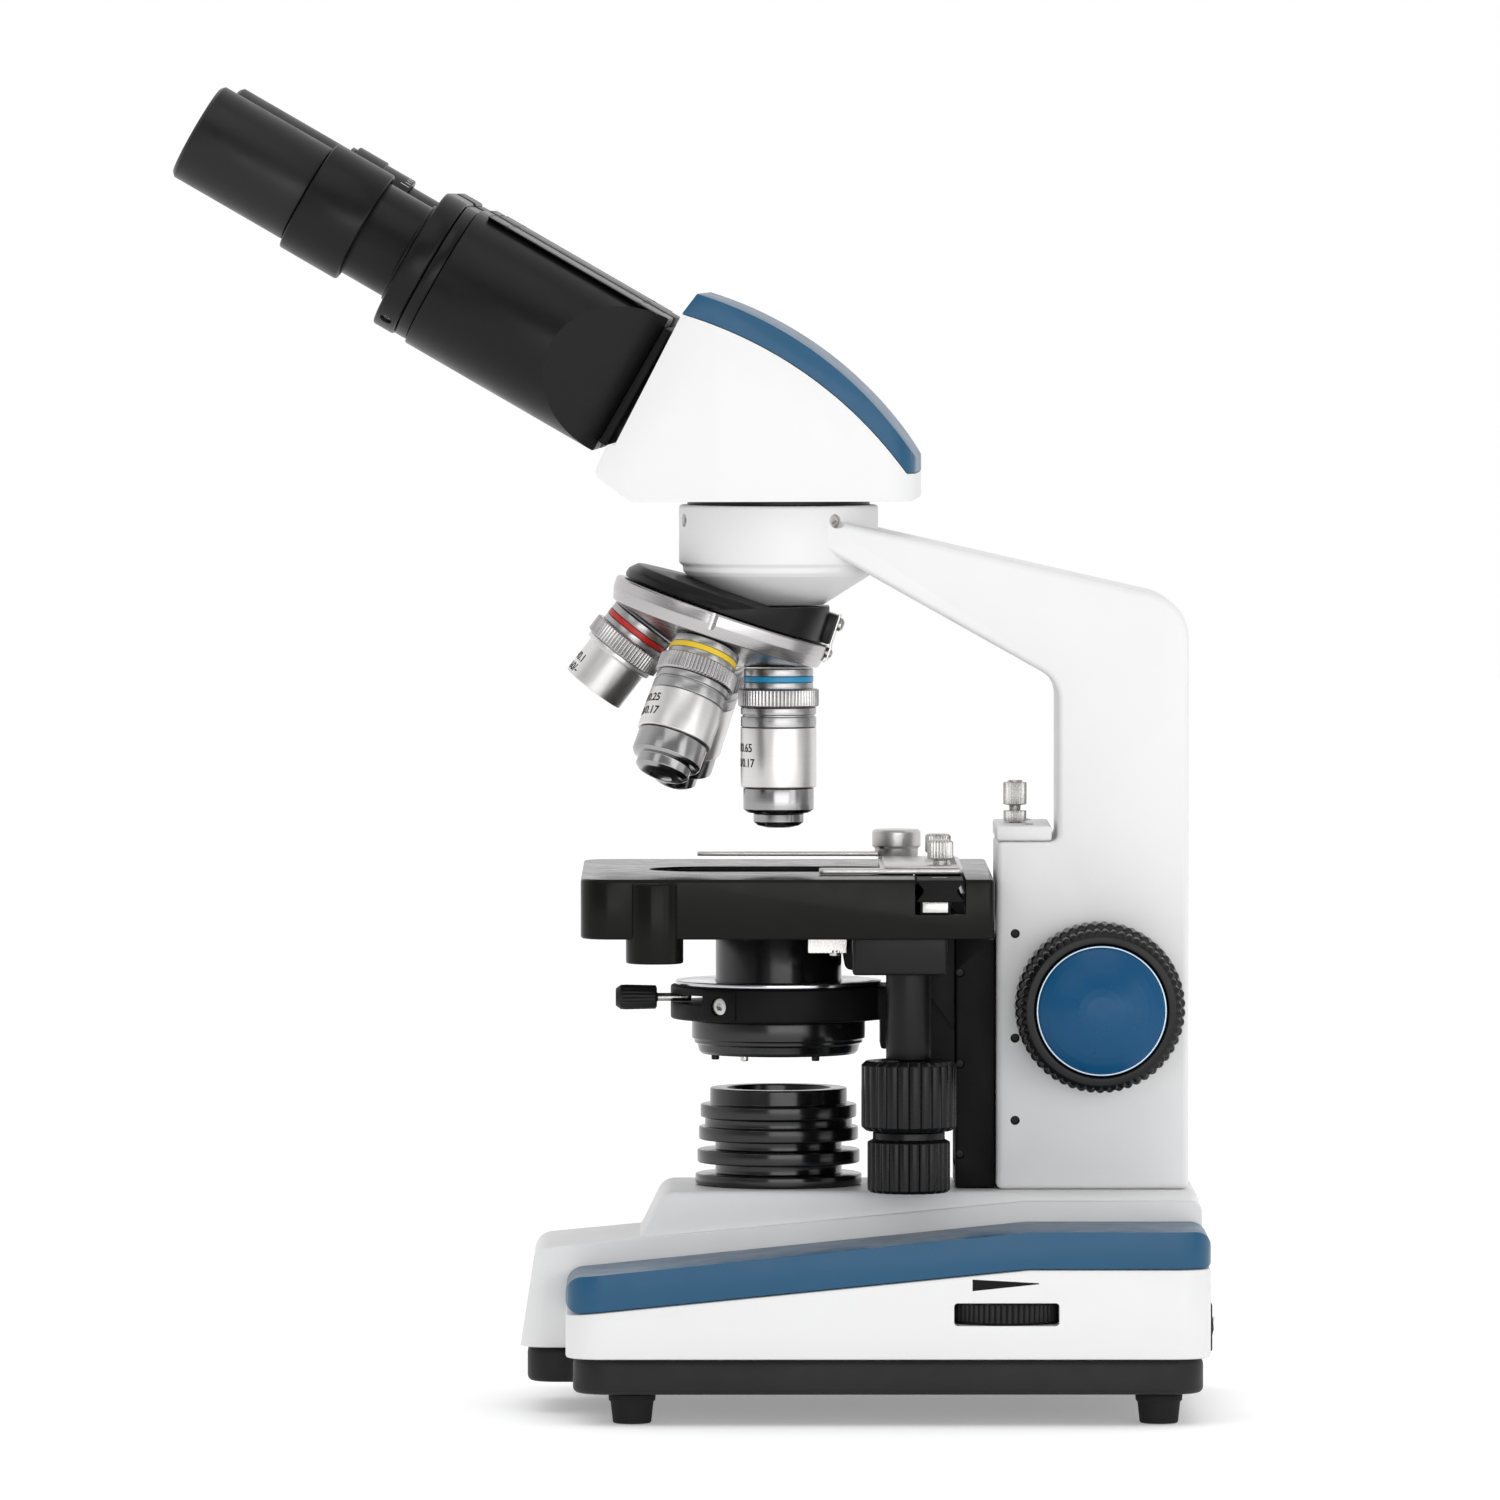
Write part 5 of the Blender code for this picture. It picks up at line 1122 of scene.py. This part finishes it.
def box_outline(sign, shrink=0.0):
    """The prism box's end: round outwards, square towards the other box. x is up, y is across."""
    middle = (BOX_TOP + BOX_BOTTOM) / 2
    half = (BOX_TOP - BOX_BOTTOM) / 2
    r = half - shrink
    arc = [(middle + r * cos(pi * i / 48), sign * r * sin(pi * i / 48)) for i in range(49)]
    inner = sign * -(BOX_INNER - shrink)
    return arc + [(BOX_BOTTOM + shrink, inner), (BOX_TOP - shrink, inner)]


def make_eye_side(side, sign):
    body = "eye_" + side
    across = sign * TUBE_Y
    half = (BOX_TOP - BOX_BOTTOM) / 2
    place = at(EYES, 0, across, 0)
    box = moved(prism_bm(box_outline(sign), BOX_END - BOX_START), (0, 0, (BOX_START + BOX_END) / 2))
    round_edges(box, 0.5, 2, 50)
    reach = 60.0
    facet = box_bm((-reach, 0, -reach), (reach, reach, reach))
    lean = atan2(half, FACET_FROM) * 180.0 / pi
    turn = about("X", -lean) if sign > 0 else about("X", 180 + lean)
    box = without(box, moved(facet, (0, sign * half, BOX_START + FACET_FROM), turn))
    recess_low, recess_high = sorted((sign * (half - 13.0), sign * -(BOX_INNER - 3.0)))
    recess = box_bm((BOX_TOP - 0.5, recess_low, BOX_START + 3.0), (BOX_TOP + 3, recess_high, BOX_END - 3.0))
    box = without(box, recess)
    piece("prism_housing_" + side, box, BLACK, body, place, ["prism_box_" + side])
    lid = box_bm((BOX_TOP - 0.45, recess_low + 0.1, BOX_START + 3.1),
                 (BOX_TOP - 0.05, recess_high - 0.1, BOX_END - 3.1),
                 0.25, 2)
    piece("prism_lid_" + side, lid, BLACK, body, place)
    for count, z in enumerate((BOX_START + 9.0, BOX_END - 9.0)):
        for y in (recess_low + 4.0, recess_high - 4.0):
            make_screw("lid_screw_%s_%d_%d" % (side, count, int(y > 0)), 1.5,
                       at(EYES, BOX_TOP + 0.15, across + y, z, about("Y", 90)), body, BLACK, False)
    make_tube_plate(side, sign, body, place)
    make_tube(side, body, place)
    make_eyepiece(side, place)


def make_tube_plate(side, sign, body, place):
    split = BOX_END + 3.7
    thin = moved(prism_bm(box_outline(sign, 0.9), split - BOX_END - 0.25), (0, 0, (split + BOX_END) / 2))
    round_edges(thin, 0.4, 2, 50)
    thick = moved(prism_bm(box_outline(sign, 0.35), PLATE_END - split - 0.2),
                  (0, 0, (split + PLATE_END) / 2))
    round_edges(thick, 0.8, 3, 50)
    bore = [(0, 99), (11.9, 99), (11.9, 40), (0, 40)]
    thick = without(thick, lathe_bm(bore, 64, False))
    thin = without(thin, lathe_bm(bore, 64, False))
    screw_z = (split + PLATE_END) / 2
    hole = rod_bm(1.8, 6, -4, 32)
    direction = Vector((-0.86, sign * 0.51, 0))
    centre = Vector(((BOX_TOP + BOX_BOTTOM) / 2, 0, screw_z))
    spot = centre + direction * ((BOX_TOP - BOX_BOTTOM) / 2 - 0.4)
    turn = facing(direction)
    thick = without(thick, moved(hole, spot, turn))
    piece("box_end_frame_" + side, thin, BLACK, body, place)
    piece("tube_flange_" + side, thick, BLACK, body, place, ["tube_plate_" + side])
    sunk = (spot - direction * 0.9) * MM
    make_screw("tube_set_screw_" + side, 1.7, place @ Matrix.Translation(sunk) @ turn, body)


TUBE_RADIUS = 14.0
SLEEVE_RADIUS = 16.4
SLEEVE_LENGTH = 18.2
EYEPIECE_TOP = TUBE_END + 0.3 + 35.6


def make_tube(side, body, place):
    bore = 11.9
    foot = PLATE_END + 0.1
    turned("tube_" + side, [(TUBE_RADIUS, TUBE_END - 0.5), (TUBE_RADIUS, foot + 1.2),
                            (TUBE_RADIUS + 0.8, foot + 1.0),
                            (TUBE_RADIUS + 0.8, foot), (bore, foot), (bore, TUBE_END - 0.5)], BLACK, body,
           place,
           ["eye_tube_" + side], 0.3, 96, True)
    if side == "right":
        turned("tube_sleeve", [(SLEEVE_RADIUS, TUBE_END), (SLEEVE_RADIUS, TUBE_END - SLEEVE_LENGTH),
                               (TUBE_RADIUS, TUBE_END - SLEEVE_LENGTH), (TUBE_RADIUS, TUBE_END)], BLACK,
               body, place,
               (), 0.7, 96, True)
        return
    lip = TUBE_END - 1.4
    turned("tube_lip", [(SLEEVE_RADIUS - 1.0, TUBE_END), (SLEEVE_RADIUS - 1.0, lip), (TUBE_RADIUS, lip),
                        (TUBE_RADIUS, TUBE_END)], BLACK, body, place, (), 0.2, 96, True)
    ring_top = lip - 0.3
    ring_foot = ring_top - SLEEVE_LENGTH
    inner = TUBE_RADIUS + 0.3
    turned("diopter_grip", [(SLEEVE_RADIUS, ring_top), (SLEEVE_RADIUS, ring_top - 9.0),
                            (SLEEVE_RADIUS - 0.6, ring_top - 9.2),
                            (SLEEVE_RADIUS - 0.6, ring_foot), (inner, ring_foot), (inner, ring_top)], BLACK,
           "diopter",
           place, ["diopter_ring"], 0.3, 360, True,
           teeth(60, 0.35, ring_top - 8.6, ring_top - 0.5, SLEEVE_RADIUS - 0.2))
    for count in range(-5, 6):
        angle = radians(count * 6.0)
        tall = 2.6 if count % 5 == 0 else 1.5
        tick = box_bm((SLEEVE_RADIUS - 0.65, -0.12, ring_foot + 0.4),
                      (SLEEVE_RADIUS - 0.55, 0.12, ring_foot + 0.4 + tall))
        piece("diopter_tick_%d" % (count + 5), tick, PALE, "diopter", place @ Matrix.Rotation(angle, 4, "Z"))


def make_eyepiece(side, place):
    body = "eyepiece_" + side
    foot = TUBE_END + 0.2
    top = EYEPIECE_TOP
    seat = top - 3.5
    lens_low = seat + 0.3
    shell = [(13.0, top - 0.05), (14.3, top - 1.3), (14.3, foot), (11.6, foot), (11.6, foot - 20),
             (9.5, foot - 20), (9.5, seat), (11.5, seat), (11.5, top - 1.8)]
    turned("eyepiece_shell_" + side, shell, EYE_BLACK, body, place, ["eyepiece_" + side], 0.5, 96, True,
           baked=True)
    turned("eye_lens_" + side, [(0, lens_low + 2.2), (4, lens_low + 2.0), (8, lens_low + 1.5),
                                (11.2, lens_low + 0.8),
                                (11.2, lens_low), (0, lens_low)], LENS, body, place,
           ["eyepiece_lens_" + side], 0.1, 64)
    turned("field_stop_" + side, [(9.4, seat - 1.0), (9.4, seat - 2.0), (7.0, seat - 2.0),
                                  (7.0, seat - 1.0)], BLACK,
           body, place, (), 0, 48, True)


# --- Stage ---

STAGE_FRONT = low("stage_plate").x
STAGE_BACK = high("stage_plate").x
STAGE_HALF = high("stage_plate").y
STAGE_CEILING = STAGE_TOP - 9.7
RAIL_FRONT = 37.3
RAIL_BACK = 50.7
BOSS_X = -34.3
BOSS_RADIUS = 7.9
BOSS_PROUD = 3.0                # it stands out from the stage's side


def make_stage_plate():
    corners = [(STAGE_BACK, -STAGE_HALF, 2), (STAGE_BACK, STAGE_HALF, 2), (STAGE_FRONT, STAGE_HALF, 8),
               (STAGE_FRONT, -STAGE_HALF, 8)]
    slab = moved(prism_bm(flat_round(corners, 8), STAGE_TOP - STAGE_BOTTOM),
                 (0, 0, (STAGE_TOP + STAGE_BOTTOM) / 2))
    round_edges(slab, 0.8, 3)
    boss_low = low("stage_plate").z
    boss_y = BOSS_RADIUS - BOSS_PROUD - STAGE_HALF
    boss = lathe_bm(soft_profile([(0, STAGE_TOP - 1.0), (BOSS_RADIUS, STAGE_TOP - 1.0),
                                  (BOSS_RADIUS, boss_low),
                                  (0, boss_low)], 0.6, False), 64, False)
    slab = added(slab, moved(boss, (BOSS_X, boss_y, 0)))
    inside = STAGE_HALF - 3.0
    slab = without(slab, box_bm((BOSS_X + 12, -inside, STAGE_BOTTOM - 5),
                                (STAGE_BACK + 5, inside, STAGE_CEILING)))
    slab = without(slab, box_bm((STAGE_FRONT + 3, boss_y + 12, STAGE_BOTTOM - 5),
                                (BOSS_X + 13, inside, STAGE_CEILING)))
    slab = without(slab, box_bm((RAIL_FRONT - 0.3, -STAGE_HALF - 5, STAGE_CEILING),
                                (RAIL_BACK + 0.3, STAGE_HALF + 5, STAGE_TOP + 5)))
    long, wide = 33.6, 14.0
    oval = flat_round([(long, -wide, wide * 0.999), (long, wide, wide * 0.999), (-long, wide, wide * 0.999),
                       (-long, -wide, wide * 0.999)], 16)
    slab = without(slab, moved(prism_bm(oval, 60), (0, 0, STAGE_TOP)))
    lip = [(x + (2.4 if x > 0 else -2.4), y + (2.4 if y > 0 else -2.4), wide + 2.3)
           for x, y in ((long, -wide), (long, wide), (-long, wide), (-long, -wide))]
    slab = without(slab, moved(prism_bm(flat_round(lip, 16), 1.4), (0, 0, STAGE_TOP)))
    piece("stage_table", slab, STAGE_TABLE, "stage", nodes=["stage_plate"])


def make_rail():
    half = STAGE_HALF - 0.5
    top = STAGE_TOP - 0.2
    waist = top - 3.0
    foot = top - 6.0
    rack = STAGE_CEILING + 0.1
    outline = [(RAIL_FRONT, top, 0.3), (RAIL_BACK, top, 0.3), (RAIL_BACK - 2.4, waist, 1.2),
               (RAIL_BACK, foot, 0.3),
               (RAIL_FRONT + 9.4, foot, 0.2), (RAIL_FRONT + 9.4, rack, 0.2), (RAIL_FRONT + 1.2, rack, 0.2),
               (RAIL_FRONT + 1.2, foot, 0.2), (RAIL_FRONT, foot, 0.3), (RAIL_FRONT + 2.4, waist, 1.2)]
    rail = prism_bm(flat_round(outline, 4), 2 * half, 0.2, 2, "Y")
    piece("dovetail_rail", rail, STAGE_BLACK, "stage", nodes=["holder_rail"])
    bar = box_bm((RAIL_FRONT + 1.8, -half - 0.3, rack + 0.5), (RAIL_FRONT + 8.8, -half + 22, rack + 3.4),
                 0.25, 2)
    piece("rack_end", bar, STEEL, "stage")
    for y in (-46, -20, 20, 46):
        make_screw("rail_screw_%d" % (y + 50), 2.4, at(STAND, (RAIL_FRONT + RAIL_BACK) / 2, y, top + 0.02),
                   "stage", STEEL)


def make_holder():
    under = low("slide_holder").z
    over = under + 1.5
    half = 38.0
    jaw_front = low("slide_holder").x
    corners = [(RAIL_BACK, -half, 2), (RAIL_BACK, half, 2), (28.0, half, 3), (28.0, -half + 7, 3),
               (jaw_front, -half + 7, 1.2), (jaw_front, -half, 1.2)]
    plate = moved(prism_bm(flat_round(corners, 5), over - under), (0, 0, (over + under) / 2))
    round_edges(plate, 0.3, 2)
    pivot = joint_spot("finger_swing")
    post = moved(rod_bm(1.9, over + 1.5, under + 0.1, 32),
                 (pivot.x, pivot.y, 0))
    plate = added(plate, post)
    piece("holder_plate", plate, HOLDER_STEEL, "holder", nodes=["slide_holder"])
    step = box_bm((29.0, -half + 1, over - 0.02), (RAIL_BACK - 1.0, half - 15, over + 0.8), 0.3, 2)
    piece("holder_cover", step, HOLDER_STEEL, "holder")
    for count in range(41):
        y = -30 + count * 1.5
        tall = 3.4 if count % 10 == 0 else (2.6 if count % 5 == 0 else 1.7)
        tick = box_bm((RAIL_BACK - 1.6 - tall, y - 0.1, over + 0.78),
                      (RAIL_BACK - 1.6, y + 0.1, over + 0.83))
        piece("holder_tick_%d" % count, tick, INK, "holder")
    for name, y in (("right", -half + 9.5), ("left", half - 27.0)):
        thumb = [(0, over + 7.6), (2.9, over + 7.6), (3.6, over + 7.0), (3.6, over + 2.6), (3.0, over + 2.2),
                 (2.0, over + 2.0), (2.0, over + 0.6), (0, over + 0.6)]
        turned("holder_thumb_screw_" + name, thumb, STEEL, "holder", at(STAND, 44.5, y, 0), (), 0.25, 264,
               ripple=teeth(22, 0.35, least=3.4))


def make_finger():
    pivot = joint_spot("finger_swing")
    under = low("slide_finger").z
    top = high("slide_finger").z
    place = at(STAND, pivot.x, pivot.y, 0)
    cap = lathe_bm(soft_profile([(0, top), (6.2, top), (6.8, top - 0.7), (6.8, top - 4.6), (6.1, top - 5.2),
                                 (6.0, under), (0, under)], 0.35, False), 96, False)
    cap = without(cap, rod_bm(2.2, under + 2.4, under - 2, 32))
    piece("finger_disc", cap, HOLDER_STEEL, "finger", place, ["slide_finger"])
    corners = [(0, -3.2, 0), (0, 3.2, 0), (-20, 3.0, 6), (-52, 1.2, 4), (-55.8, 1.0, 0.9),
               (-55.8, -1.2, 0.9),
               (-50, -1.6, 4), (-20, -2.6, 6)]
    blade = moved(prism_bm(flat_round(corners, 5), 1.2), (0, 0, under + 0.75))
    blade = without(blade, rod_bm(2.2, under + 9, under - 2, 32))
    round_edges(blade, 0.2, 2)
    piece("finger_blade", blade, HOLDER_STEEL, "finger", place)
    for turn_count in range(2):
        height = under + 2.0 + turn_count * 0.8
        turned("finger_spring_%d" % turn_count,
               [(5.0, height + 0.3), (5.3, height), (5.0, height - 0.3), (4.7, height)],
               STEEL, "finger", place, (), 0.1, 48, True)


def make_bracket():
    under = low("stage_bracket").z
    top = STAGE_CEILING - 0.3
    mid = STAGE_BOTTOM - 10.2
    half = 27.0
    back = high("stage_bracket").x
    front = back - 8.5
    outline = [(-26.0, top, 0), (back, top, 0), (back, under, 0), (front, under, 2), (front, mid, 0),
               (18.0, mid, 2),
               (18.0, STAGE_BOTTOM + 0.5, 0), (-26.0, STAGE_BOTTOM + 0.5, 0)]
    body = prism_bm(flat_round(outline, 4), 2 * half, 0.6, 2, "Y")
    hole = [(0, top + 5), (20.0, top + 5), (20.0, STAGE_BOTTOM - 5), (18.5, STAGE_BOTTOM - 5),
            (18.5, mid - 5), (0, mid - 5)]
    body = without(body, lathe_bm(hole, 96, False))
    for sign in (-1, 1):
        side_cut = prism_bm([(front - 1, mid - 3), (back + 1, mid - 18), (back + 1, under - 1),
                             (front - 1, under - 1)], 8,
                            axis="Y")
        body = without(body, moved(side_cut, (0, sign * (half + 2.0), 0)))
    drive = joint_spot("condenser_knob_turn")
    body = without(body, moved(rod_bm(3.4, 14, -22, 32), drive,
                               about("X", -90)))
    piece("stage_carrier", body, STAGE_BLACK, "stage_carriage", nodes=["stage_bracket"])
    for y in (-18.0, 18.0):
        make_screw("carriage_screw_%d" % (y + 20), 2.4,
                   at(STAND, front - 0.9, y, under + 14, about("Y", -90)),
                   "stage_carriage")
    make_screw("carrier_side_screw", 1.3, at(STAND, 26.0, -half - 0.4, STAGE_BOTTOM - 5.2, about("X", 90)),
               "stage_carriage", BLACK)


def make_condenser_knob():
    drive = joint_spot("condenser_knob_turn")
    start = 27.0
    place = at(STAND, drive.x, start, drive.z, about("X", -90))
    turned("condenser_drive_knob", [(0, 15.6), (3.0, 15.6), (3.4, 16), (8.0, 16), (9, 15), (9, 5), (7, 3.5),
                                    (3.0, 3.3), (3.0, -14), (0, -14)],
           PLASTIC, "condenser_drive", place, ["condenser_knob"], 0.4, 288,
           ripple=teeth(24, 0.6, 5.0, 15.2, 8.9))


def make_stage_control():
    here = joint_spot("xy_upper_turn")
    place = at(STAND, here.x, here.y, 0)
    mid = STAGE_BOTTOM - 10.2
    top = STAGE_CEILING - 0.3
    upper_low, upper_high = low("xy_upper_knob").z, high("xy_upper_knob").z
    lower_low, lower_high = low("xy_lower_knob").z, upper_low - 2.3
    case = box_bm((-15.6, -10, mid), (10.4, 10, top), 1.0, 3)
    barrel = lathe_bm(soft_profile([(0, mid + 3), (6.3, mid + 3), (6.3, upper_high + 0.2),
                                    (0, upper_high + 0.2)], 0.4,
                                   False), 64, False)
    body = added(case, barrel)
    body = without(body, rod_bm(3.4, mid + 1, upper_high - 5, 32))
    piece("stage_drive_case", body, BLACK, "stage", place, ["xy_column"])
    upper_radius, lower_radius = 13.15, 11.45
    turned("stage_drive_upper", [(3.4, upper_high), (upper_radius - 1.4, upper_high),
                                 (upper_radius, upper_high - 1.2),
                                 (upper_radius, upper_low + 1.2), (upper_radius - 1.4, upper_low),
                                 (3.4, upper_low)],
           GRIP_BLACK, "xy_upper", place, ["xy_upper_knob"], 0.5, 432, True,
           teeth(24, 0.75, upper_low - 1, upper_high + 1, upper_radius - 2.0, 0.6))
    turned("stage_drive_lower", [(0, mid), (3.0, mid), (3.0, upper_low - 0.2), (9.9, upper_low - 0.2),
                                 (9.9, lower_high), (lower_radius, lower_high - 0.8),
                                 (lower_radius, lower_low + 0.8),
                                 (lower_radius - 0.9, lower_low), (0, lower_low)], GRIP_BLACK, "xy_lower",
           place,
           ["xy_lower_knob"], 0.4, 432, False, teeth(24, 0.7, lower_low - 1, lower_high + 0.1,
                                                     lower_radius - 1.5, 0.6))
    rack_low = STAGE_BOTTOM - 6.1
    outline = [(8.0, rack_low + 0.9), (18.6, rack_low + 0.9), (18.6, rack_low + 5.8), (8.0, rack_low + 5.8)]
    bar = prism_bm(outline, 5.0, 0.15, 1, "Y")
    for count in range(13):
        slot = box_bm((-0.25, -3.0, -6.0), (0.25, -1.6, 6.0))
        bar = without(bar, moved(slot, (7.4 + count, 0, rack_low + 3.4), about("Y", 15)))
    piece("stage_rack", moved(bar, (0, -30.5, 0)), STEEL, "stage")
    make_screw("stage_rack_screw", 1.7, at(STAND, 15.5, -31.0, rack_low + 0.1, about("X", 180)), "stage")


# --- Condenser ---

def make_condenser():
    top = high("condenser_barrel").z
    ring_top = high("condenser_mount").z
    ring_low = low("condenser_rim").z - 9.7
    foot = low("condenser_barrel").z
    under = ring_low - 0.3
    barrel = [(9.5, top), (9.5, top - 4.3), (17.5, top - 5.0), (17.5, ring_top), (19.6, ring_top),
              (19.6, under),
              (24.1, under), (24.1, under - 5.2), (23.4, under - 5.4), (23.4, under - 6.4),
              (22.6, under - 6.8),
              (22.1, foot + 0.8), (21.4, foot), (8.5, foot), (8.5, top)]
    turned("condenser_body", barrel, GLOSS_BLACK, "condenser", STAND, ["condenser_barrel"], 0.35, 96, True)
    rim_low, rim_high = low("condenser_rim").z, high("condenser_rim").z
    turned("condenser_scale_rim", [(28.7, rim_high), (28.7, rim_low - 0.2), (17.8, rim_low - 0.2),
                                   (17.8, rim_high)],
           CHROME, "condenser", STAND, ["condenser_rim"], 0.2, 128, True)
    for count in range(19):
        angle = radians(-95 + count * 5)
        long = 3.4 if count % 3 == 0 else 2.2
        tick = box_bm((28.2 - long, -0.14, rim_high - 0.02), (28.2, 0.14, rim_high + 0.04))
        piece("rim_tick_%d" % count, tick, INK, "condenser", at(STAND, turn=Matrix.Rotation(angle, 4, "Z")))
    crown = high("condenser_lens").z
    turned("condenser_top_lens", [(0, crown), (3, crown - 0.2), (6, crown - 0.9), (8.2, crown - 1.8),
                                  (8.2, crown - 4.2),
                                  (0, crown - 4.2)], LENS, "condenser", STAND, ["condenser_lens"], 0.15, 64)
    mount = lathe_bm(soft_profile([(30, ring_top), (30, ring_low), (19.9, ring_low), (19.9, ring_top)], 0.7,
                                  True), 128,
                     True)
    arm_end = high("condenser_mount").x
    mount = added(mount, box_bm((24, -12, ring_low), (arm_end, 12, ring_top - 0.1), 0.8, 2))
    mount = added(mount, box_bm((28.2, -12, ring_low - 8), (arm_end, 12, ring_low + 3), 0.8, 2))
    angle = radians(-124)
    direction = heading(angle)
    turn = about("Z", degrees_of(angle))
    pad = moved(box_bm((-4, -5.6, ring_low + 0.5), (0.2, 5.6, ring_top - 0.5), 0.6, 2), (30.0, 0, 0))
    mount = added(mount, moved(pad, turn=turn))
    lever = (low("iris_lever").z + high("iris_lever").z) / 2
    mount = without(mount, box_bm((-35, -22, lever - 1.3), (-18, 22, lever + 1.3)))
    screw_spot = Vector((0, 0, (ring_low + ring_top) / 2 - 0.3))
    hole = rod_bm(2.6, 8, -3, 32)
    look = facing(direction)
    mount = without(mount, moved(hole, direction * 30.2 + screw_spot, look))
    piece("condenser_holder", mount, STAGE_BLACK, "condenser", nodes=["condenser_mount"])
    make_screw("condenser_clamp_screw", 2.45, at(STAND, *(direction * 29.4 + screw_spot), turn=look),
               "condenser")
    for count, degrees in enumerate((-150, -118, -60, 30, 150)):
        a = radians(degrees)
        turned("condenser_pin_%d" % count, [(0, foot + 0.6), (1.1, foot + 0.6), (1.1, foot - 1.2),
                                            (0, foot - 1.2)],
               STEEL if count == 1 else BLACK, "condenser", at(STAND, 20.3 * cos(a), 20.3 * sin(a), 0), (),
               0.25, 24)
    make_lever(lever)


def degrees_of(angle):
    return angle * 180.0 / pi


def make_lever(height):
    place = at(STAND, 0, 0, height, about("Y", -90))
    length = -low("iris_lever").x
    grip = 11.5
    profile = [(0, length), (2.4, length), (3.4, length - 1.4), (3.5, length - 3.0),
               (3.3, length - grip + 0.4),
               (2.6, length - grip), (1.1, length - grip), (1.1, 24.2), (0, 24.2)]
    turned("iris_handle", profile, PLASTIC, "iris", place, ["iris_lever"], 0.4, 240,
           ripple=teeth(16, 0.35, length - grip + 0.8, length - 2.0, 2.8, 0.7))
    start = length - grip
    turned("iris_rod", [(0, start + 0.3), (1.15, start + 0.3), (1.15, 25.0), (0, 25.0)], STEEL, "iris",
           place, (), 0.2, 32)


# --- Focus controls ---

def make_focus():
    shaft = joint_spot("coarse_turn")
    here = at(STAND, *shaft)
    lay = about("X", 90)
    reach = 25.0
    turned("coarse_axle", [(5.0, reach), (5.0, -reach), (3.2, -reach), (3.2, reach)], STEEL, "coarse_focus",
           here @ lay,
           ["coarse_shaft"], 0.2, 48, True)
    start = reach + 0.3
    end = start + 12.0
    turned("fine_axle", [(0, end), (2.8, end), (2.8, -end), (0, -end)], STEEL, "fine_focus", here @ lay,
           ["fine_shaft"],
           0.2, 32)
    fine_start = end + 0.3
    fine_end = fine_start + 13.0
    crown = fine_end + 7.0
    for side, degrees in (("right", 90), ("left", -90)):
        place = here @ about("X", degrees)
        wheel = [(23.0, end), (23.5, end - 0.8), (23.5, start + 0.8), (22.8, start), (3.2, start),
                 (3.2, end)]
        turned("coarse_wheel_" + side, wheel, GRIP_BLACK, "coarse_focus", place, ["coarse_knob_" + side],
               0.3, 432, True,
               double_teeth(54, 0.8, (start + end) / 2, 22.0))
        turned("coarse_collar_" + side, [(9.5, start + 0.1), (9.5, start - 1.0), (5.2, start - 1.0),
                                         (5.2, start + 0.1)],
               BLACK, "coarse_focus", place, (), 0.2, 48, True)
        drum = [(0, fine_end - 2.0), (18.2, fine_end - 2.0), (18.4, fine_end - 0.2), (20.6, fine_end - 0.4),
                (22.2, fine_end - 1.8), (22.2, fine_start), (0, fine_start)]
        turned("fine_wheel_" + side, drum, GRIP_BLACK, "fine_focus", place, ["fine_knob_" + side], 0.5, 480,
               False,
               teeth(60, 0.7, fine_start - 1, fine_end - 1.0, 21.0, 0.7))
        cap = [(0, crown)]
        for step in range(1, 9):
            share = step / 8
            cap.append((17.0 * share, crown - 5.6 * share ** 2.2))
        cap += [(17.3, fine_end + 0.7), (17.3, fine_end - 1.9), (0, fine_end - 1.9)]
        turned("fine_cap_" + side, cap, CAP_BLUE, "fine_focus", place, (), 0.3, 128)
        turned("fine_cap_ring_" + side, [(17.9, fine_end + 0.5), (17.9, fine_end - 1.9),
                                         (17.35, fine_end - 1.9),
                                         (17.35, fine_end + 0.5)], CAP_RIM, "fine_focus", place, (), 0.15,
               128, True)


def double_teeth(count, depth, middle, least):
    """Two rows of rounded teeth, half a pitch apart."""
    def ripple(angle, radius, height):
        if radius < least:
            return 0.0
        shift = 0.0 if height > middle else pi / count
        return depth * (abs(sin(count * (angle + shift) / 2)) ** 0.7 - 1.0)
    return ripple


make_housing()
make_base_trims()
make_base_bottom()
make_dimmer()
make_switch()
make_jack()
make_light()
make_arm()
make_guide()
make_stop()
make_nosepiece()
make_objectives()
make_head()
make_eye_side("right", -1)
make_eye_side("left", 1)
make_stage_plate()
make_rail()
make_holder()
make_finger()
make_bracket()
make_condenser_knob()
make_stage_control()
make_condenser()
make_focus()
